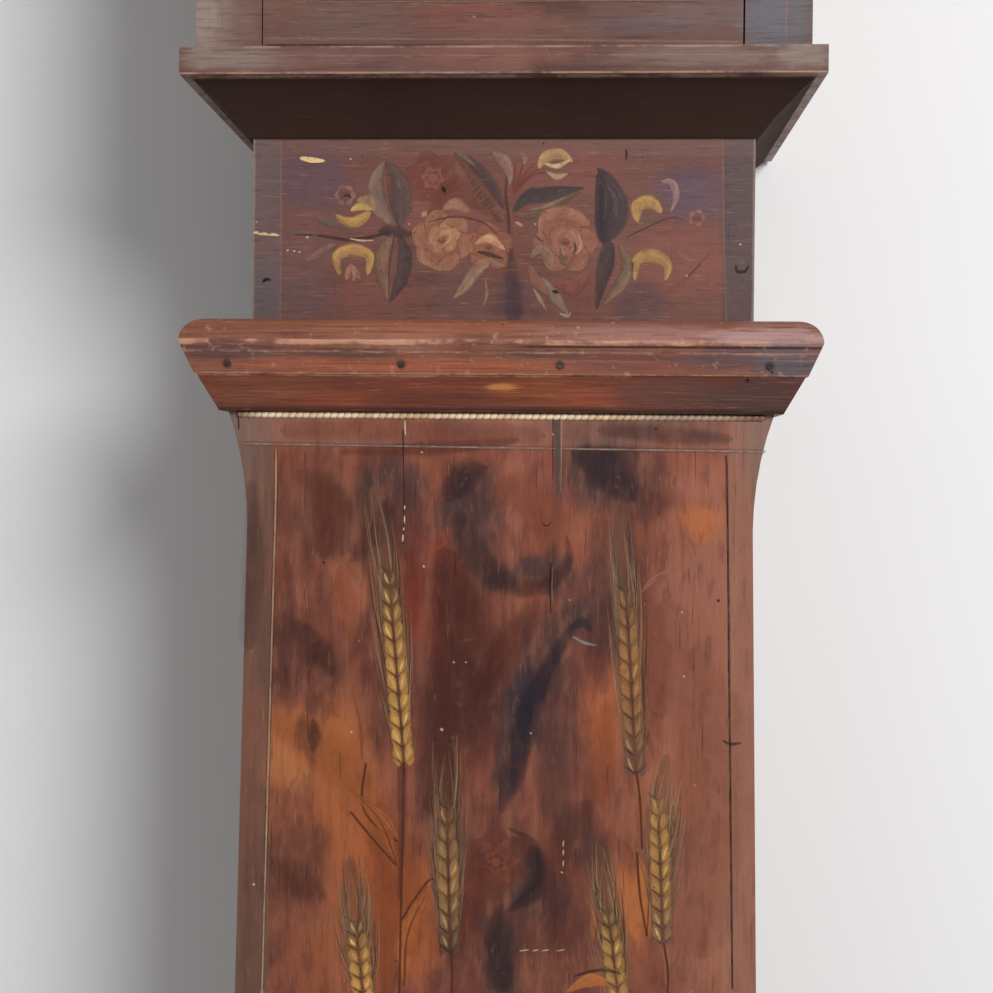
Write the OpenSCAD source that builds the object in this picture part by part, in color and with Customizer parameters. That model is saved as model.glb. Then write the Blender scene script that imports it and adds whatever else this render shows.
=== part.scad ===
// Painted longcase clock with an iron cage movement.
// Millimetres. The front faces -Y, +X is to the right of the dial, +Z is up,
// and the origin is on the floor under the middle of the case.

/* [Case boards] */
// Thickness of the case boards
board_t = 12; // [10:0.5:18]
// Width of the neck between the two mouldings
neck_w = 320; // [280:1:360]
// Narrowest width of the trunk, under its flared shoulder
waist_w = 319; // [290:1:330]
// How much each side of the trunk leans outwards, in mm for each mm down
trunk_taper = 0.0185; // [0:0.0005:0.025]
// Height of the flared shoulder at the top of the trunk
shoulder_h = 73; // [50:1:120]
// Depth of the trunk from its front face to the back of the case
case_d = 227; // [213:0.5:260]

/* [Heights] */
// Height of the plinth panels
plinth_h = 278; // [180:1:360]
// Thickness of the board that caps the plinth
cap_t = 18; // [12:1:26]
// Height of the trunk from the plinth cap to the waist moulding
trunk_h = 1264; // [1200:1:1400]
// Height of the painted neck that shows between the mouldings
neck_h = 118; // [90:1:150]
// Height of the hood above its base moulding
hood_h = 434; // [424:1:480]

/* [Waist moulding] */
// How far the waist moulding stands out from the trunk
waist_reach = 26; // [20:0.5:34]
// Height of the lower chamfer
waist_chamfer_h = 22.5; // [16:0.5:30]
// Height of the sloping face above the chamfer
waist_slope_h = 19.5; // [14:0.5:28]
// Radius of the rounded top edge
waist_round_r = 15; // [10:0.5:18]
// How far the arris under the sloping face lies behind the nose
waist_slope_in = 8; // [5:0.5:11]
// Step that divides the slope from the chamfer
waist_step = 1.2; // [0.5:0.1:2]
// How far the foot of the lower chamfer stands out from the trunk
waist_foot = 5; // [3:0.5:8]
// Diameter of the gilt rope bead under the moulding
bead_d = 4.4; // [3:0.2:7]
// Clear length that the bead leaves at each end
bead_end_gap = 6.5; // [3:0.5:20]

/* [Hood base moulding] */
// How far the flat fascia stands out from the neck
fascia_reach = 38.5; // [34:0.5:48]
// Height of the flat fascia
fascia_h = 17; // [12:0.5:24]
// Height of the coving under the fascia
cove_h = 31; // [26:0.5:42]
// Lip of the fascia in front of the coving
fascia_lip = 5; // [2:0.5:8]
// Radius of the shallow hollow of the coving
cove_r = 160; // [100:5:300]

/* [Hood] */
// How far the hood stands out from the neck
hood_reach = 30; // [28:1:36]
// Width of the upright beside the hood door
stile_w = 41; // [36:1:46]
// Thickness of the hood's front frame and door
frame_t = 18; // [16:0.5:20]
// Height of the rail over the hood door
top_rail_h = 35; // [25:1:50]
// Width of the rails of the hood door
door_rail_w = 32; // [24:1:40]
// Gap all round a door
door_gap = 0.75; // [0.5:0.05:1.5]
// Thickness of the glass
glass_t = 3; // [2:0.5:4]
// Width of the rebate that holds the glass
rebate_w = 7; // [5:0.5:10]
// Height of the cornice
cornice_h = 75; // [55:1:95]
// How far the cornice overlaps the top of the hood
cornice_drop = 10; // [5:1:20]
// How far the cornice stands out from the hood
cornice_reach = 35; // [25:1:45]
// Height of the flat band at the foot of the cornice
cornice_band_h = 12; // [8:1:14]
// Height of the hollow of the cornice
cornice_hollow_h = 34.5; // [28:0.5:36]

/* [Plinth] */
// Width of the plinth
plinth_w = 400; // [380:1:420]
// How far the plinth stands in front of the trunk
plinth_out = 24; // [16:1:30]
// How far the cap stands out from the plinth
cap_reach = 10; // [6:1:16]
// Height of the skirting
skirting_h = 80; // [50:1:110]
// Thickness of the skirting
skirting_t = 12; // [8:0.5:16]
// Height of the floor board above the ground
floor_rise = 20; // [10:1:40]

/* [Trunk door] */
// Width of the trunk door
trunk_door_w = 228; // [200:1:236]
// Height of the trunk door
trunk_door_h = 706; // [500:2:760]
// Height of the foot of the trunk door above the plinth cap
trunk_door_rise = 176; // [100:1:200]
// Thickness of the battens behind the trunk door
batten_t = 10; // [8:0.5:12]
// Distance of the key hole from the edge of the trunk door
key_inset = 24; // [22:0.5:28]

/* [Hinges] */
// Diameter of a hinge pin
hinge_pin_d = 4; // [3:0.1:4.4]
// Diameter of a hinge knuckle
knuckle_d = 7; // [6.4:0.1:9]
// Height of one half of a hinge
knuckle_h = 28; // [18:1:40]
// Width of a hinge leaf
leaf_w = 16; // [12:1:20]
// Thickness of a hinge leaf
leaf_t = 1.2; // [1:0.1:1.6]
// Clearance of a pin or arbor in its hole, on the radius
fit = 0.05; // [0.02:0.01:0.1]

/* [Movement] */
// Width of the iron cage
cage_w = 240; // [230:1:250]
// Height of the iron cage
cage_h = 250; // [240:1:270]
// Depth of the iron cage
cage_d = 140; // [138:1:150]
// Thickness of the iron plates
plate_t = 5; // [4:0.5:6]
// Width of the pillars
pillar_w = 9; // [7:0.5:12]
// Width of the upright straps that carry the arbors
strap_w = 22; // [18:1:26]
// Thickness of the straps
strap_t = 4; // [3:0.5:5]
// Height of the hands above the bottom of the cage
hands_rise = 139; // [134:1:150]
// Distance from the middle to the winding arbors, sideways
winder_x = 47.3; // [45:0.1:50]
// Distance between the great wheel and the arbor it drives
great_gap = 60; // [58:0.5:64]
// Teeth of a great wheel
great_teeth = 84; // [72:1:96]
// Leaves of the pinion that a great wheel drives
great_leaves = 7; // [6:1:8]
// Teeth of the centre wheel
centre_teeth = 80; // [70:1:90]
// Distance between the centre wheel and the third wheel
centre_gap = 54; // [52:0.5:56]
// Teeth of the third wheel
third_teeth = 75; // [60:1:80]
// Leaves of the small pinions
pinion_leaves = 10; // [8:1:12]
// Height of the escape wheel above the hands
escape_rise = 56; // [54:0.5:60]
// Height of the anchor above the hands
anchor_rise = 85; // [84:0.5:90]
// Teeth of the escape wheel
escape_teeth = 30; // [24:1:36]
// Radius of the escape wheel at its tips
escape_r = 22; // [18:0.5:22]
// Diameter of a plain arbor
arbor_d = 5; // [4:0.1:5]
// Diameter of the arbor of the fly, thinner than its pinion
fly_arbor_d = 3; // [2:0.1:3]
// Diameter of a winding arbor
winder_d = 10; // [8:0.1:10]
// Thickness of a wheel
wheel_t = 2.5; // [1.5:0.1:3]
// Distance from the hands to the stud of the minute wheel
motion_gap = 25; // [24:0.5:28]

/* [Weights and ropes] */
// Radius of the drum of a barrel
drum_r = 11.5; // [10:0.5:13]
// Diameter of the rope
rope_d = 4; // [3:0.1:5]
// Radius of the flanges of a barrel
flange_r = 20; // [18:0.5:22]
// Radius of a weight
weight_r = 34; // [28:1:36]
// Height of a weight
weight_h = 200; // [150:1:220]
// Height of the stem over a weight
stem_h = 30; // [20:1:40]
// Height of the weights over the plinth cap, at rest
weight_rise = 574; // [540:1:620]

/* [Pendulum] */
// Length from the suspension to the middle of the bob
pendulum_l = 994; // [980:1:1000]
// Radius of the bob
bob_r = 80; // [60:1:88]
// Thickness of the bob
bob_t = 26; // [16:1:30]
// Diameter of the pendulum rod
rod_d = 6; // [4:0.2:7]

/* [Dial] */
// Radius of the enamel dial
dial_r = 110; // [104:1:114]
// How far the pressed brass surround stands out past the cage at each side
surround_over = 2; // [0:0.5:6]
// Height of the pressed brass surround
surround_h = 335; // [310:1:345]
// Length of the minute hand
minute_l = 92; // [80:1:98]
// Length of the hour hand
hour_l = 64; // [50:1:72]

/* [Bell] */
// Radius of the bell
bell_r = 55; // [45:1:56]
// Thickness of the bell
bell_t = 2.5; // [2:0.1:4]
// Height of the mouth of the bell over the cage
bell_rise = 24; // [18:1:30]

/* [Hidden] */
$fn = 64;
round_fn = 180;
eps = 0.01;
seat = 0.3;
// Fine gap that keeps two boards of one sub-part apart at their joint
seam = 0.1;
// Heights of the case, from the floor up
cap_z = plinth_h;
trunk_z = cap_z + cap_t;
waist_z = trunk_z + trunk_h;
waist_h = waist_chamfer_h + waist_slope_h + waist_round_r;
trunk_top = waist_z + waist_chamfer_h + waist_slope_h;
neck_z = waist_z + waist_h;
cove_z = neck_z + neck_h;
fascia_z = cove_z + cove_h;
hood_z = fascia_z + fascia_h;
hood_top = hood_z + hood_h;
cornice_z = hood_top - cornice_drop;
shoulder_z = waist_z - shoulder_h;
// Half widths
neck_half = neck_w / 2;
waist_half = waist_w / 2;
top_half = neck_half + board_t;
foot_half = waist_half + trunk_taper * (shoulder_z - trunk_z);
hood_half = neck_half + hood_reach;
plinth_half = plinth_w / 2;
shoulder_d = top_half - waist_half;
shoulder_r = (shoulder_h * shoulder_h + shoulder_d * shoulder_d) / (2 * shoulder_d);
// Depths: the case is centred front to back on its cornice and its back board
back_y = (case_d - board_t + hood_reach + cornice_reach) / 2;
back_in = back_y - board_t;
front_y = back_y - case_d;
neck_y = front_y + board_t;
hood_y = neck_y - hood_reach;
hood_in = hood_y + frame_t;
plinth_y = front_y - plinth_out;
// Doors
door_half = hood_half - stile_w;
door_z0 = hood_z + 2 * door_gap;
door_z1 = hood_top - top_rail_h;
trunk_door_half = trunk_door_w / 2;
trunk_door_z0 = trunk_z + trunk_door_rise;
trunk_door_z1 = trunk_door_z0 + trunk_door_h;
hinge_out = knuckle_d / 2 + seat;
hood_hinge_x = -door_half;
trunk_hinge_x = -trunk_door_half - door_gap / 2;
trunk_jamb = trunk_door_half + door_gap - trunk_hinge_x;
// The far edge of a door or lock, so that it swings past the jamb on its hinge
swing_clear = 0.3;
function swing_reach(jamb, depth) = sqrt((jamb - swing_clear) * (jamb - swing_clear) - depth * depth);
hood_door_x1 = hood_hinge_x + swing_reach(door_half - hood_hinge_x, frame_t + hinge_out);
trunk_door_x1 = trunk_hinge_x + swing_reach(trunk_jamb, board_t + hinge_out);
key_x = trunk_door_half - key_inset;
key_z = (trunk_door_z0 + trunk_door_z1) / 2;
key_shaft_d = 6;
lock_w = 40;
lock_h = 64;
lock_d = 13;
lock_wall = 2;
lock_x0 = trunk_hinge_x + swing_reach(trunk_jamb, board_t + hinge_out + lock_d) - lock_w;
// Seat board and movement, measured from the middle of the hands
seat_t = 18;
seat_z = hood_z + seat_t;
hands_z = seat_z + hands_rise;
cage_half = cage_w / 2;
cage_in = 12;
cage_y0 = neck_y + cage_in;
cage_y1 = cage_y0 + cage_d;
cage_z0 = seat_z;
cage_z1 = seat_z + cage_h;
plates_z0 = cage_z0 + plate_t;
plates_z1 = cage_z1 - plate_t;
strap_y1 = cage_y1 - strap_t;
strap_in = cage_y0 + strap_t;
winder_dz = -sqrt(great_gap * great_gap - winder_x * winder_x);
winder_z = hands_z + winder_dz;
great_m = 2 * great_gap / (great_teeth + great_leaves);
centre_m = 2 * centre_gap / (centre_teeth + pinion_leaves);
third_dz = sqrt(centre_gap * centre_gap - winder_x * winder_x);
third_gap = sqrt(winder_x * winder_x + (escape_rise - third_dz) * (escape_rise - third_dz));
third_m = 2 * third_gap / (third_teeth + pinion_leaves);
pin_teeth = 60;
fly_leaves = 6;
pin_m = 0.9;
pin_dz = winder_dz + great_gap;
fly_gap = pin_m * (pin_teeth + fly_leaves) / 2;
fly_dz = pin_dz + fly_gap;
arbor_r = arbor_d / 2;
fly_arbor_r = fly_arbor_d / 2;
winder_r = winder_d / 2;
// Where the wheels stand from front to back
centre_wheel_y = cage_y0 + 15;
pin_wheel_y = cage_y0 + 40;
fly_y = cage_y0 + 62;
drum_y0 = cage_y0 + 24;
drum_y1 = drum_y0 + 70;
flange_t = 2;
ratchet_t = 3;
ratchet_gap = 2;
ratchet_r = flange_r - 0.5;
click_w = 3.6;
going_wheel_y = drum_y1 + flange_t + ratchet_t + ratchet_gap;
great_t = 4;
third_wheel_y = going_wheel_y + great_t + 4;
strike_wheel_y = third_wheel_y + wheel_t + 5;
escape_y = strike_wheel_y + great_t + 2.5;
// Motion work in front of the cage
motion_minute = 36;
cannon_teeth = 12;
motion_hour = 40;
motion_leaves = 10;
cannon_m = 2 * motion_gap / (motion_minute + cannon_teeth);
hour_m = 2 * motion_gap / (motion_hour + motion_leaves);
motion_t = 2;
minute_wheel_y = cage_y0 - motion_t - 1.5;
hour_wheel_y = minute_wheel_y - motion_t - 1.5;
surround_t = 1.5;
surround_gap = 9;
surround_y = cage_y0 - surround_gap - surround_t;
surround_w = cage_w + 2 * surround_over;
dial_t = 1.5;
dial_y = surround_y - dial_t;
dial_hole_r = 6;
pipe_r = 4.5;
hand_t = 1;
hour_hand_y = dial_y - 4 - hand_t;
minute_hand_y = hour_hand_y - 3 - hand_t;
// Ropes and weights
rope_r = rope_d / 2;
wind_r = drum_r + rope_r;
layer_r = drum_r + rope_d;
rope_x = winder_x + wind_r;
rope_y = (drum_y0 + drum_y1) / 2;
rope_top = winder_z - sqrt(layer_r * layer_r - (wind_r - rope_r) * (wind_r - rope_r)) - seat;
weight_z = trunk_z + weight_rise;
stem_top = weight_z + weight_h + stem_h;
stem_r = 4;
// Pendulum behind the cage
anchor_z = hands_z + anchor_rise;
pendulum_y = cage_y1 + 15;
bob_z = anchor_z - pendulum_l;
eye_r = 7;
eye_t = 7;
stud_r = 2.5;
crutch_y = cage_y1 + 4;
crutch_t = 3;
crutch_l = 110;
// Bell over the cage
bell_z = cage_z1 + bell_rise;
bell_y = cage_y0 + 54;
hammer_x = bell_r + 30;
hammer_post_h = 18;
hammer_z = cage_z1 + hammer_post_h - 6;

// Building blocks

// Lays a drawing of the front view up against y1, and gives it the depth y1 - y0
module slab(y0, y1) {
    translate([0, y1, 0]) rotate([90, 0, 0]) linear_extrude(y1 - y0) children();
}

// A bar along Y
module bar(x, z, r, y0, y1) {
    translate([x, y1, z]) rotate([90, 0, 0]) cylinder(r = r, h = y1 - y0);
}

// Front view of the trunk, drawn in by the given amount at both sides
module trunk_outline(inset) {
    foot = foot_half - inset;
    waist = waist_half - inset;
    top = top_half - inset;
    polygon([[-foot, trunk_z], [foot, trunk_z], [waist, shoulder_z], [-waist, shoulder_z]]);
    difference() {
        translate([-top, shoulder_z]) square([2 * top, trunk_top - shoulder_z]);
        for (s = [-1, 1])
            translate([s * (waist + shoulder_r), shoulder_z]) circle(shoulder_r, $fn = 2 * round_fn);
    }
}

// Run of moulding across the front of a box, mitred at both ends. The profile is
// drawn as distance out from the face and height, and may reach inwards by tail.
module moulding_front(half, face_y, reach, tail) {
    intersection() {
        translate([-(half + reach), face_y, 0])
            mirror([0, 1, 0]) rotate([90, 0, 90]) linear_extrude(2 * (half + reach)) children();
        linear_extrude(hood_top + cornice_h) polygon([
            [-(half + reach), face_y - reach], [half + reach, face_y - reach],
            [half - tail, face_y + tail], [-(half - tail), face_y + tail]
        ]);
    }
}

// The two returns of the same moulding, along the sides
module moulding_returns(half, face_y, reach, tail) {
    for (s = [0, 1]) mirror([s, 0, 0]) intersection() {
        translate([half, back_y, 0])
            rotate([90, 0, 0]) linear_extrude(back_y - face_y + reach) children();
        linear_extrude(hood_top + cornice_h) polygon([
            [half + reach, face_y - reach + seam], [half + reach, back_y],
            [half - tail, back_y], [half - tail, face_y + tail + seam]
        ]);
    }
}

// Outline of a toothed wheel. A tooth points at the angle aim, or a gap if gap is 1.
function tooth_points(n, m, root, tip, share, aim, gap) = [
    for (i = [0 : n - 1])
        for (p = [
            [root, -1.1 * share], [n * m / 2, -share], [tip, -0.45 * share],
            [tip, 0.45 * share], [n * m / 2, share], [root, 1.1 * share]
        ])
            let (a = aim + (i + gap / 2 + p[1] / 2) * 360 / n)
                [p[0] * cos(a), p[0] * sin(a)]
];
tooth_share = 0.4;
module wheel_outline(n, m, aim) {
    polygon(tooth_points(n, m, n * m / 2 - 1.2 * m, n * m / 2 + 0.85 * m, tooth_share, aim, 0));
}
module pinion_outline(n, m, aim) {
    polygon(tooth_points(n, m, n * m / 2 - 1.15 * m, n * m / 2 + 0.7 * m, tooth_share, aim, 1));
}

// Crossed-out wheel: a rim, a hub and arms
module spoked_wheel(n, m, aim, hub_r, arms) {
    rim = n * m / 2 - 4.5 * m;
    difference() {
        wheel_outline(n, m, aim);
        difference() {
            circle(rim);
            circle(hub_r);
            for (i = [0 : arms - 1])
                rotate(aim + i * 360 / arms) translate([0, -1.5 * m]) square([rim + m, 3 * m]);
        }
    }
}

// Case

module back_board() {
    hood_in_half = hood_half - board_t;
    color("saddlebrown") slab(back_in, back_y) {
        intersection() {
            trunk_outline(board_t);
            translate([-top_half, trunk_z]) square([2 * top_half, waist_z - trunk_z]);
        }
        translate([board_t - neck_half, waist_z]) square([neck_w - 2 * board_t, hood_z - waist_z]);
        translate([-hood_in_half, hood_z]) square([2 * hood_in_half, hood_top - hood_z]);
    }
}

module trunk_side(s) {
    color("sienna") slab(neck_y, back_y) intersection() {
        difference() {
            trunk_outline(0);
            trunk_outline(board_t);
        }
        mirror([s < 0 ? 1 : 0, 0]) translate([0, trunk_z]) square([2 * top_half, trunk_top - trunk_z]);
    }
}

module trunk_front() {
    gap = door_gap;
    color("brown") slab(front_y, neck_y) difference() {
        trunk_outline(0);
        translate([-trunk_door_half - gap, trunk_door_z0 - gap])
            square([trunk_door_w + 2 * gap, trunk_door_h + 2 * gap]);
    }
}

// Half round strip against the trunk, right under the waist moulding
module rope_bead() {
    half = top_half - bead_end_gap;
    z = waist_z - bead_d / 2;
    color("gold") intersection() {
        translate([-half, front_y, z]) rotate([0, 90, 0]) cylinder(d = bead_d, h = 2 * half);
        translate([-half, front_y - bead_d, z - bead_d]) cube([2 * half, bead_d, 2 * bead_d]);
    }
}

module waist_profile() {
    arris_z = waist_z + waist_chamfer_h;
    arris_p = waist_reach - waist_slope_in;
    polygon([
        [0, waist_z], [waist_foot, waist_z], [arris_p - waist_step, arris_z], [arris_p, arris_z],
        [waist_reach, trunk_top], [waist_reach - waist_round_r, trunk_top], [0, trunk_top]
    ]);
    translate([-board_t, trunk_top]) square([waist_reach - waist_round_r + board_t, waist_round_r]);
    intersection() {
        translate([waist_reach - waist_round_r, trunk_top]) circle(waist_round_r);
        translate([waist_reach - waist_round_r, trunk_top]) square(waist_round_r);
    }
}

// Nails that hold the front of the waist moulding, seen as flat heads
nail_r = 1.8;
nail_rise = 6;
nail_places = [3.5 - top_half, -60, 38, top_half - 6];
nail_z = waist_z + waist_chamfer_h + nail_rise;
nail_sink = 2;
// The slope at the height of the nails, where their heads lie
nail_p = waist_reach - waist_slope_in * (1 - nail_rise / waist_slope_h);
module nail_rows(r, y1) {
    for (x = nail_places)
        bar(x, nail_z, r, front_y - nail_p, y1);
}

module waist_moulding_front() {
    color("firebrick") difference() {
        moulding_front(top_half, front_y, waist_reach, board_t) waist_profile();
        nail_rows(nail_r + fit, front_y - nail_sink);
    }
}
module waist_moulding_returns() {
    color("firebrick") moulding_returns(top_half, front_y, waist_reach, board_t) waist_profile();
}
module moulding_nails() {
    color("dimgray") nail_rows(nail_r, front_y - nail_sink);
}

module neck_front() {
    color("maroon") slab(neck_y, neck_y + board_t)
        translate([-neck_half, waist_z]) square([neck_w, hood_z - waist_z]);
}
module neck_sides() {
    depth = back_y - neck_y - board_t;
    color("maroon") for (s = [0, 1]) mirror([s, 0, 0])
        translate([neck_half - board_t, neck_y + board_t, waist_z])
            cube([board_t, depth, hood_z - waist_z]);
}

module hood_profile() {
    cove_foot = 2;
    foot = [cove_foot, cove_z];
    head = [fascia_reach - fascia_lip, fascia_z];
    chord = head - foot;
    half_chord = norm(chord) / 2;
    lift = sqrt(cove_r * cove_r - half_chord * half_chord);
    across = [chord[1], -chord[0]] / norm(chord);
    difference() {
        polygon([[0, cove_z], foot, head, [0, fascia_z]]);
        translate((foot + head) / 2 + across * lift) circle(cove_r, $fn = 2 * round_fn);
    }
    translate([0, fascia_z]) square([fascia_reach, fascia_h]);
}
module hood_moulding_front() {
    color("darkred") moulding_front(neck_half, neck_y, fascia_reach, 0) hood_profile();
}
module hood_moulding_returns() {
    color("darkred") moulding_returns(neck_half, neck_y, fascia_reach, 0) hood_profile();
}

module hood_side(s) {
    color("sienna") mirror([s < 0 ? 1 : 0, 0, 0])
        translate([hood_half - board_t, hood_in, hood_z]) cube([board_t, back_y - hood_in, hood_h]);
}
module hood_front_frame() {
    color("sienna") {
        for (s = [0, 1]) mirror([s, 0, 0])
            translate([door_half, hood_y, hood_z]) cube([stile_w, frame_t, hood_h]);
        translate([seam - door_half, hood_y, door_z1])
            cube([2 * (door_half - seam), frame_t, top_rail_h]);
    }
}
module hood_roof() {
    color("saddlebrown") translate([-hood_half, hood_y, hood_top])
        cube([2 * hood_half, back_y - hood_y, board_t]);
}

module cornice_profile() {
    foot_p = 4;
    lip = 3;
    lip_h = 8;
    hollow_r = cornice_reach - lip_h;
    low = cornice_z + cornice_band_h;
    high = low + cornice_hollow_h;
    head_p = cornice_reach - lip;
    difference() {
        polygon([
            [0, cornice_z], [foot_p, cornice_z], [foot_p, low], [head_p, high], [head_p, high + lip_h],
            [cornice_reach, high + lip_h], [cornice_reach, cornice_z + cornice_h], [0, cornice_z + cornice_h]
        ]);
        translate([cornice_reach + lip, low - 2]) circle(hollow_r);
    }
}
module cornice() {
    color("darkred") {
        moulding_front(hood_half, hood_y, cornice_reach, 0) cornice_profile();
        moulding_returns(hood_half, hood_y, cornice_reach, 0) cornice_profile();
    }
}

// Board that the movement stands on, with slots for the ropes and the pendulum
rope_slot = [22, 34];
rod_slot = [84, 20];
module slots() {
    for (s = [-1, 1])
        translate([s * rope_x - rope_slot[0] / 2, rope_y - rope_slot[1] / 2, 0])
            cube([rope_slot[0], rope_slot[1], hood_top]);
    translate([-rod_slot[0] / 2, pendulum_y - rod_slot[1] / 2, 0])
        cube([rod_slot[0], rod_slot[1], hood_top]);
}
module seat_board() {
    color("burlywood") difference() {
        translate([-neck_half, neck_y, hood_z]) cube([neck_w, back_in - neck_y, seat_t]);
        slots();
    }
}

module plinth_panels() {
    side_y0 = plinth_y + board_t + seam;
    back_half = plinth_half - board_t - seam;
    color("sienna") {
        translate([-plinth_half, plinth_y, 0]) cube([plinth_w, board_t, plinth_h]);
        for (s = [0, 1]) mirror([s, 0, 0])
            translate([plinth_half - board_t, side_y0, 0]) cube([board_t, back_y - side_y0, plinth_h]);
        translate([-back_half, back_in, 0]) cube([2 * back_half, board_t, plinth_h]);
    }
}

// Board with a moulded edge that caps the plinth and carries the trunk
module cap_edge(a, b, tail_a) {
    bevel = cap_t / 3;
    polygon([
        [a + tail_a * bevel, cap_z], [b - bevel, cap_z], [b, cap_z + bevel],
        [b, cap_z + 2 * bevel], [b - bevel, trunk_z], [a + tail_a * bevel, trunk_z],
        [a, cap_z + 2 * bevel], [a, cap_z + bevel]
    ]);
}
module plinth_cap() {
    half = plinth_half + cap_reach;
    hole_half = waist_half - 2 * board_t;
    hole_y0 = neck_y + board_t;
    color("darkred") difference() {
        intersection() {
            translate([0, back_y, 0]) rotate([90, 0, 0])
                linear_extrude(back_y - plinth_y + cap_reach) cap_edge(-half, half, 1);
            translate([-half, 0, 0]) rotate([90, 0, 90]) linear_extrude(2 * half)
                mirror([1, 0]) cap_edge(-back_y, cap_reach - plinth_y, 0);
        }
        translate([-hole_half, hole_y0, 0]) cube([2 * hole_half, back_in - board_t - hole_y0, hood_z]);
    }
}

module skirting_profile() {
    polygon([
        [0, 0], [skirting_t, 0], [skirting_t, skirting_h - 14],
        [skirting_t / 2, skirting_h - 6], [skirting_t / 2, skirting_h], [0, skirting_h]
    ]);
}
module skirting() {
    color("darkred") {
        moulding_front(plinth_half, plinth_y, skirting_t, 0) skirting_profile();
        moulding_returns(plinth_half, plinth_y, skirting_t, 0) skirting_profile();
    }
}
module floor_board() {
    half = plinth_half - board_t;
    y0 = plinth_y + board_t;
    color("saddlebrown") translate([-half, y0, floor_rise]) cube([2 * half, back_in - y0, board_t]);
}

// Doors

module hood_door() {
    x0 = hood_hinge_x + door_gap;
    light = -x0 - door_rail_w;
    z0 = door_z0 + door_rail_w;
    z1 = door_z1 - door_gap - door_rail_w;
    color("sienna") difference() {
        slab(hood_y, hood_in) translate([x0, door_z0])
            square([hood_door_x1 - x0, door_z1 - door_gap - door_z0]);
        slab(hood_y - 1, hood_in + 1) translate([-light, z0]) square([2 * light, z1 - z0]);
        slab(hood_in - frame_t / 2, hood_in + 1) translate([-light - rebate_w, z0 - rebate_w])
            square([2 * (light + rebate_w), z1 - z0 + 2 * rebate_w]);
    }
}
module hood_door_glass() {
    clear = 0.5;
    half = door_half - door_gap - door_rail_w + rebate_w - clear;
    z0 = door_z0 + door_rail_w - rebate_w + clear;
    z1 = door_z1 - door_gap - door_rail_w + rebate_w - clear;
    color("lightcyan", 0.4) translate([-half, hood_in - frame_t / 2, z0]) cube([2 * half, glass_t, z1 - z0]);
}

module trunk_door() {
    color("brown") difference() {
        slab(front_y, neck_y) translate([-trunk_door_half, trunk_door_z0])
            square([trunk_door_x1 + trunk_door_half, trunk_door_h]);
        bar(key_x, key_z, key_shaft_d / 2 + fit, front_y - 1, neck_y + 1);
    }
}
module door_battens() {
    inset = 26;
    width = 60;
    end_gap = 50;
    color("saddlebrown") for (z = [trunk_door_z0 + end_gap, trunk_door_z1 - end_gap - width])
        translate([inset - trunk_door_half, neck_y, z])
            cube([trunk_door_w - 2 * inset, batten_t, width]);
}

// Barrel hinges on the faces of the doors. side is -1 for a hinge at the left edge.
hinge_end_gap = 50;
hood_hinge_zs = [door_z0 + hinge_end_gap, door_z1 - hinge_end_gap - 2 * knuckle_h];
trunk_hinge_zs = [trunk_door_z0 + hinge_end_gap, trunk_door_z1 - hinge_end_gap - 2 * knuckle_h];
module hinge_half(x, face, z, toward) {
    translate([x, face - hinge_out, z]) cylinder(d = knuckle_d, h = knuckle_h);
    translate([toward > 0 ? x : x - leaf_w, face - leaf_t, z]) cube([leaf_w, leaf_t, knuckle_h]);
}
module case_hinge(x, face, z) {
    hinge_half(x, face, z, -1);
    translate([x, face - hinge_out, z]) cylinder(d = hinge_pin_d, h = 2 * knuckle_h + 2);
}
module door_hinge(x, face, z) {
    difference() {
        hinge_half(x, face, z + knuckle_h + seat, 1);
        translate([x, face - hinge_out, z]) cylinder(d = hinge_pin_d + 2 * fit, h = 3 * knuckle_h);
    }
}
module door_hinge_pins() {
    color("dimgray") {
        for (z = hood_hinge_zs) case_hinge(hood_hinge_x, hood_y, z);
        for (z = trunk_hinge_zs) case_hinge(trunk_hinge_x, front_y, z);
    }
}
module hood_hinge_knuckles() {
    color("dimgray") for (z = hood_hinge_zs) door_hinge(hood_hinge_x, hood_y, z);
}
module trunk_hinge_knuckles() {
    color("dimgray") for (z = trunk_hinge_zs) door_hinge(trunk_hinge_x, front_y, z);
}

// Turn button on the right upright of the hood; upright is open
button_inset = 14;
button_x = door_half + button_inset;
button_z = (door_z0 + door_z1) / 2;
button_l = 44;
button_w = 12;
button_t = 5;
module hood_turn_button() {
    screw_r = 4;
    screw_head = 2;
    y1 = hood_y - seat;
    color("goldenrod") {
        slab(y1 - button_t, y1) translate([button_x, button_z]) {
            translate([-button_w / 2, 0]) square([button_w, button_l - button_w / 2]);
            circle(d = button_w);
            translate([0, button_l - button_w / 2]) circle(d = button_w);
        }
        bar(button_x, button_z, screw_r, y1 - button_t - screw_head, y1);
    }
}

// Lock behind the trunk door: case, sliding bolt and key
bolt_rise = 14;
bolt_z = key_z + bolt_rise;
bolt_h = 10;
bolt_t = 5;
bolt_fit = 0.3;
bit_l = bolt_rise - 0.5;
bolt_y = neck_y + lock_wall + bolt_fit + 0.5;
lock_y1 = neck_y + lock_d;
module lock_case() {
    z0 = key_z - lock_h / 2;
    inside = [lock_w - 2 * lock_wall, lock_d - 2 * lock_wall, lock_h - 2 * lock_wall];
    color("dimgray") difference() {
        translate([lock_x0, neck_y, z0]) cube([lock_w, lock_d, lock_h]);
        translate([lock_x0 + lock_wall, neck_y + lock_wall, z0 + lock_wall]) cube(inside);
        translate([lock_x0 + lock_wall, bolt_y - bolt_fit, bolt_z - bolt_fit])
            cube([lock_w, bolt_t + 2 * bolt_fit, bolt_h + 2 * bolt_fit]);
        bar(key_x, key_z, key_shaft_d / 2 + fit, neck_y - 1, neck_y + lock_wall + 1);
    }
}
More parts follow.
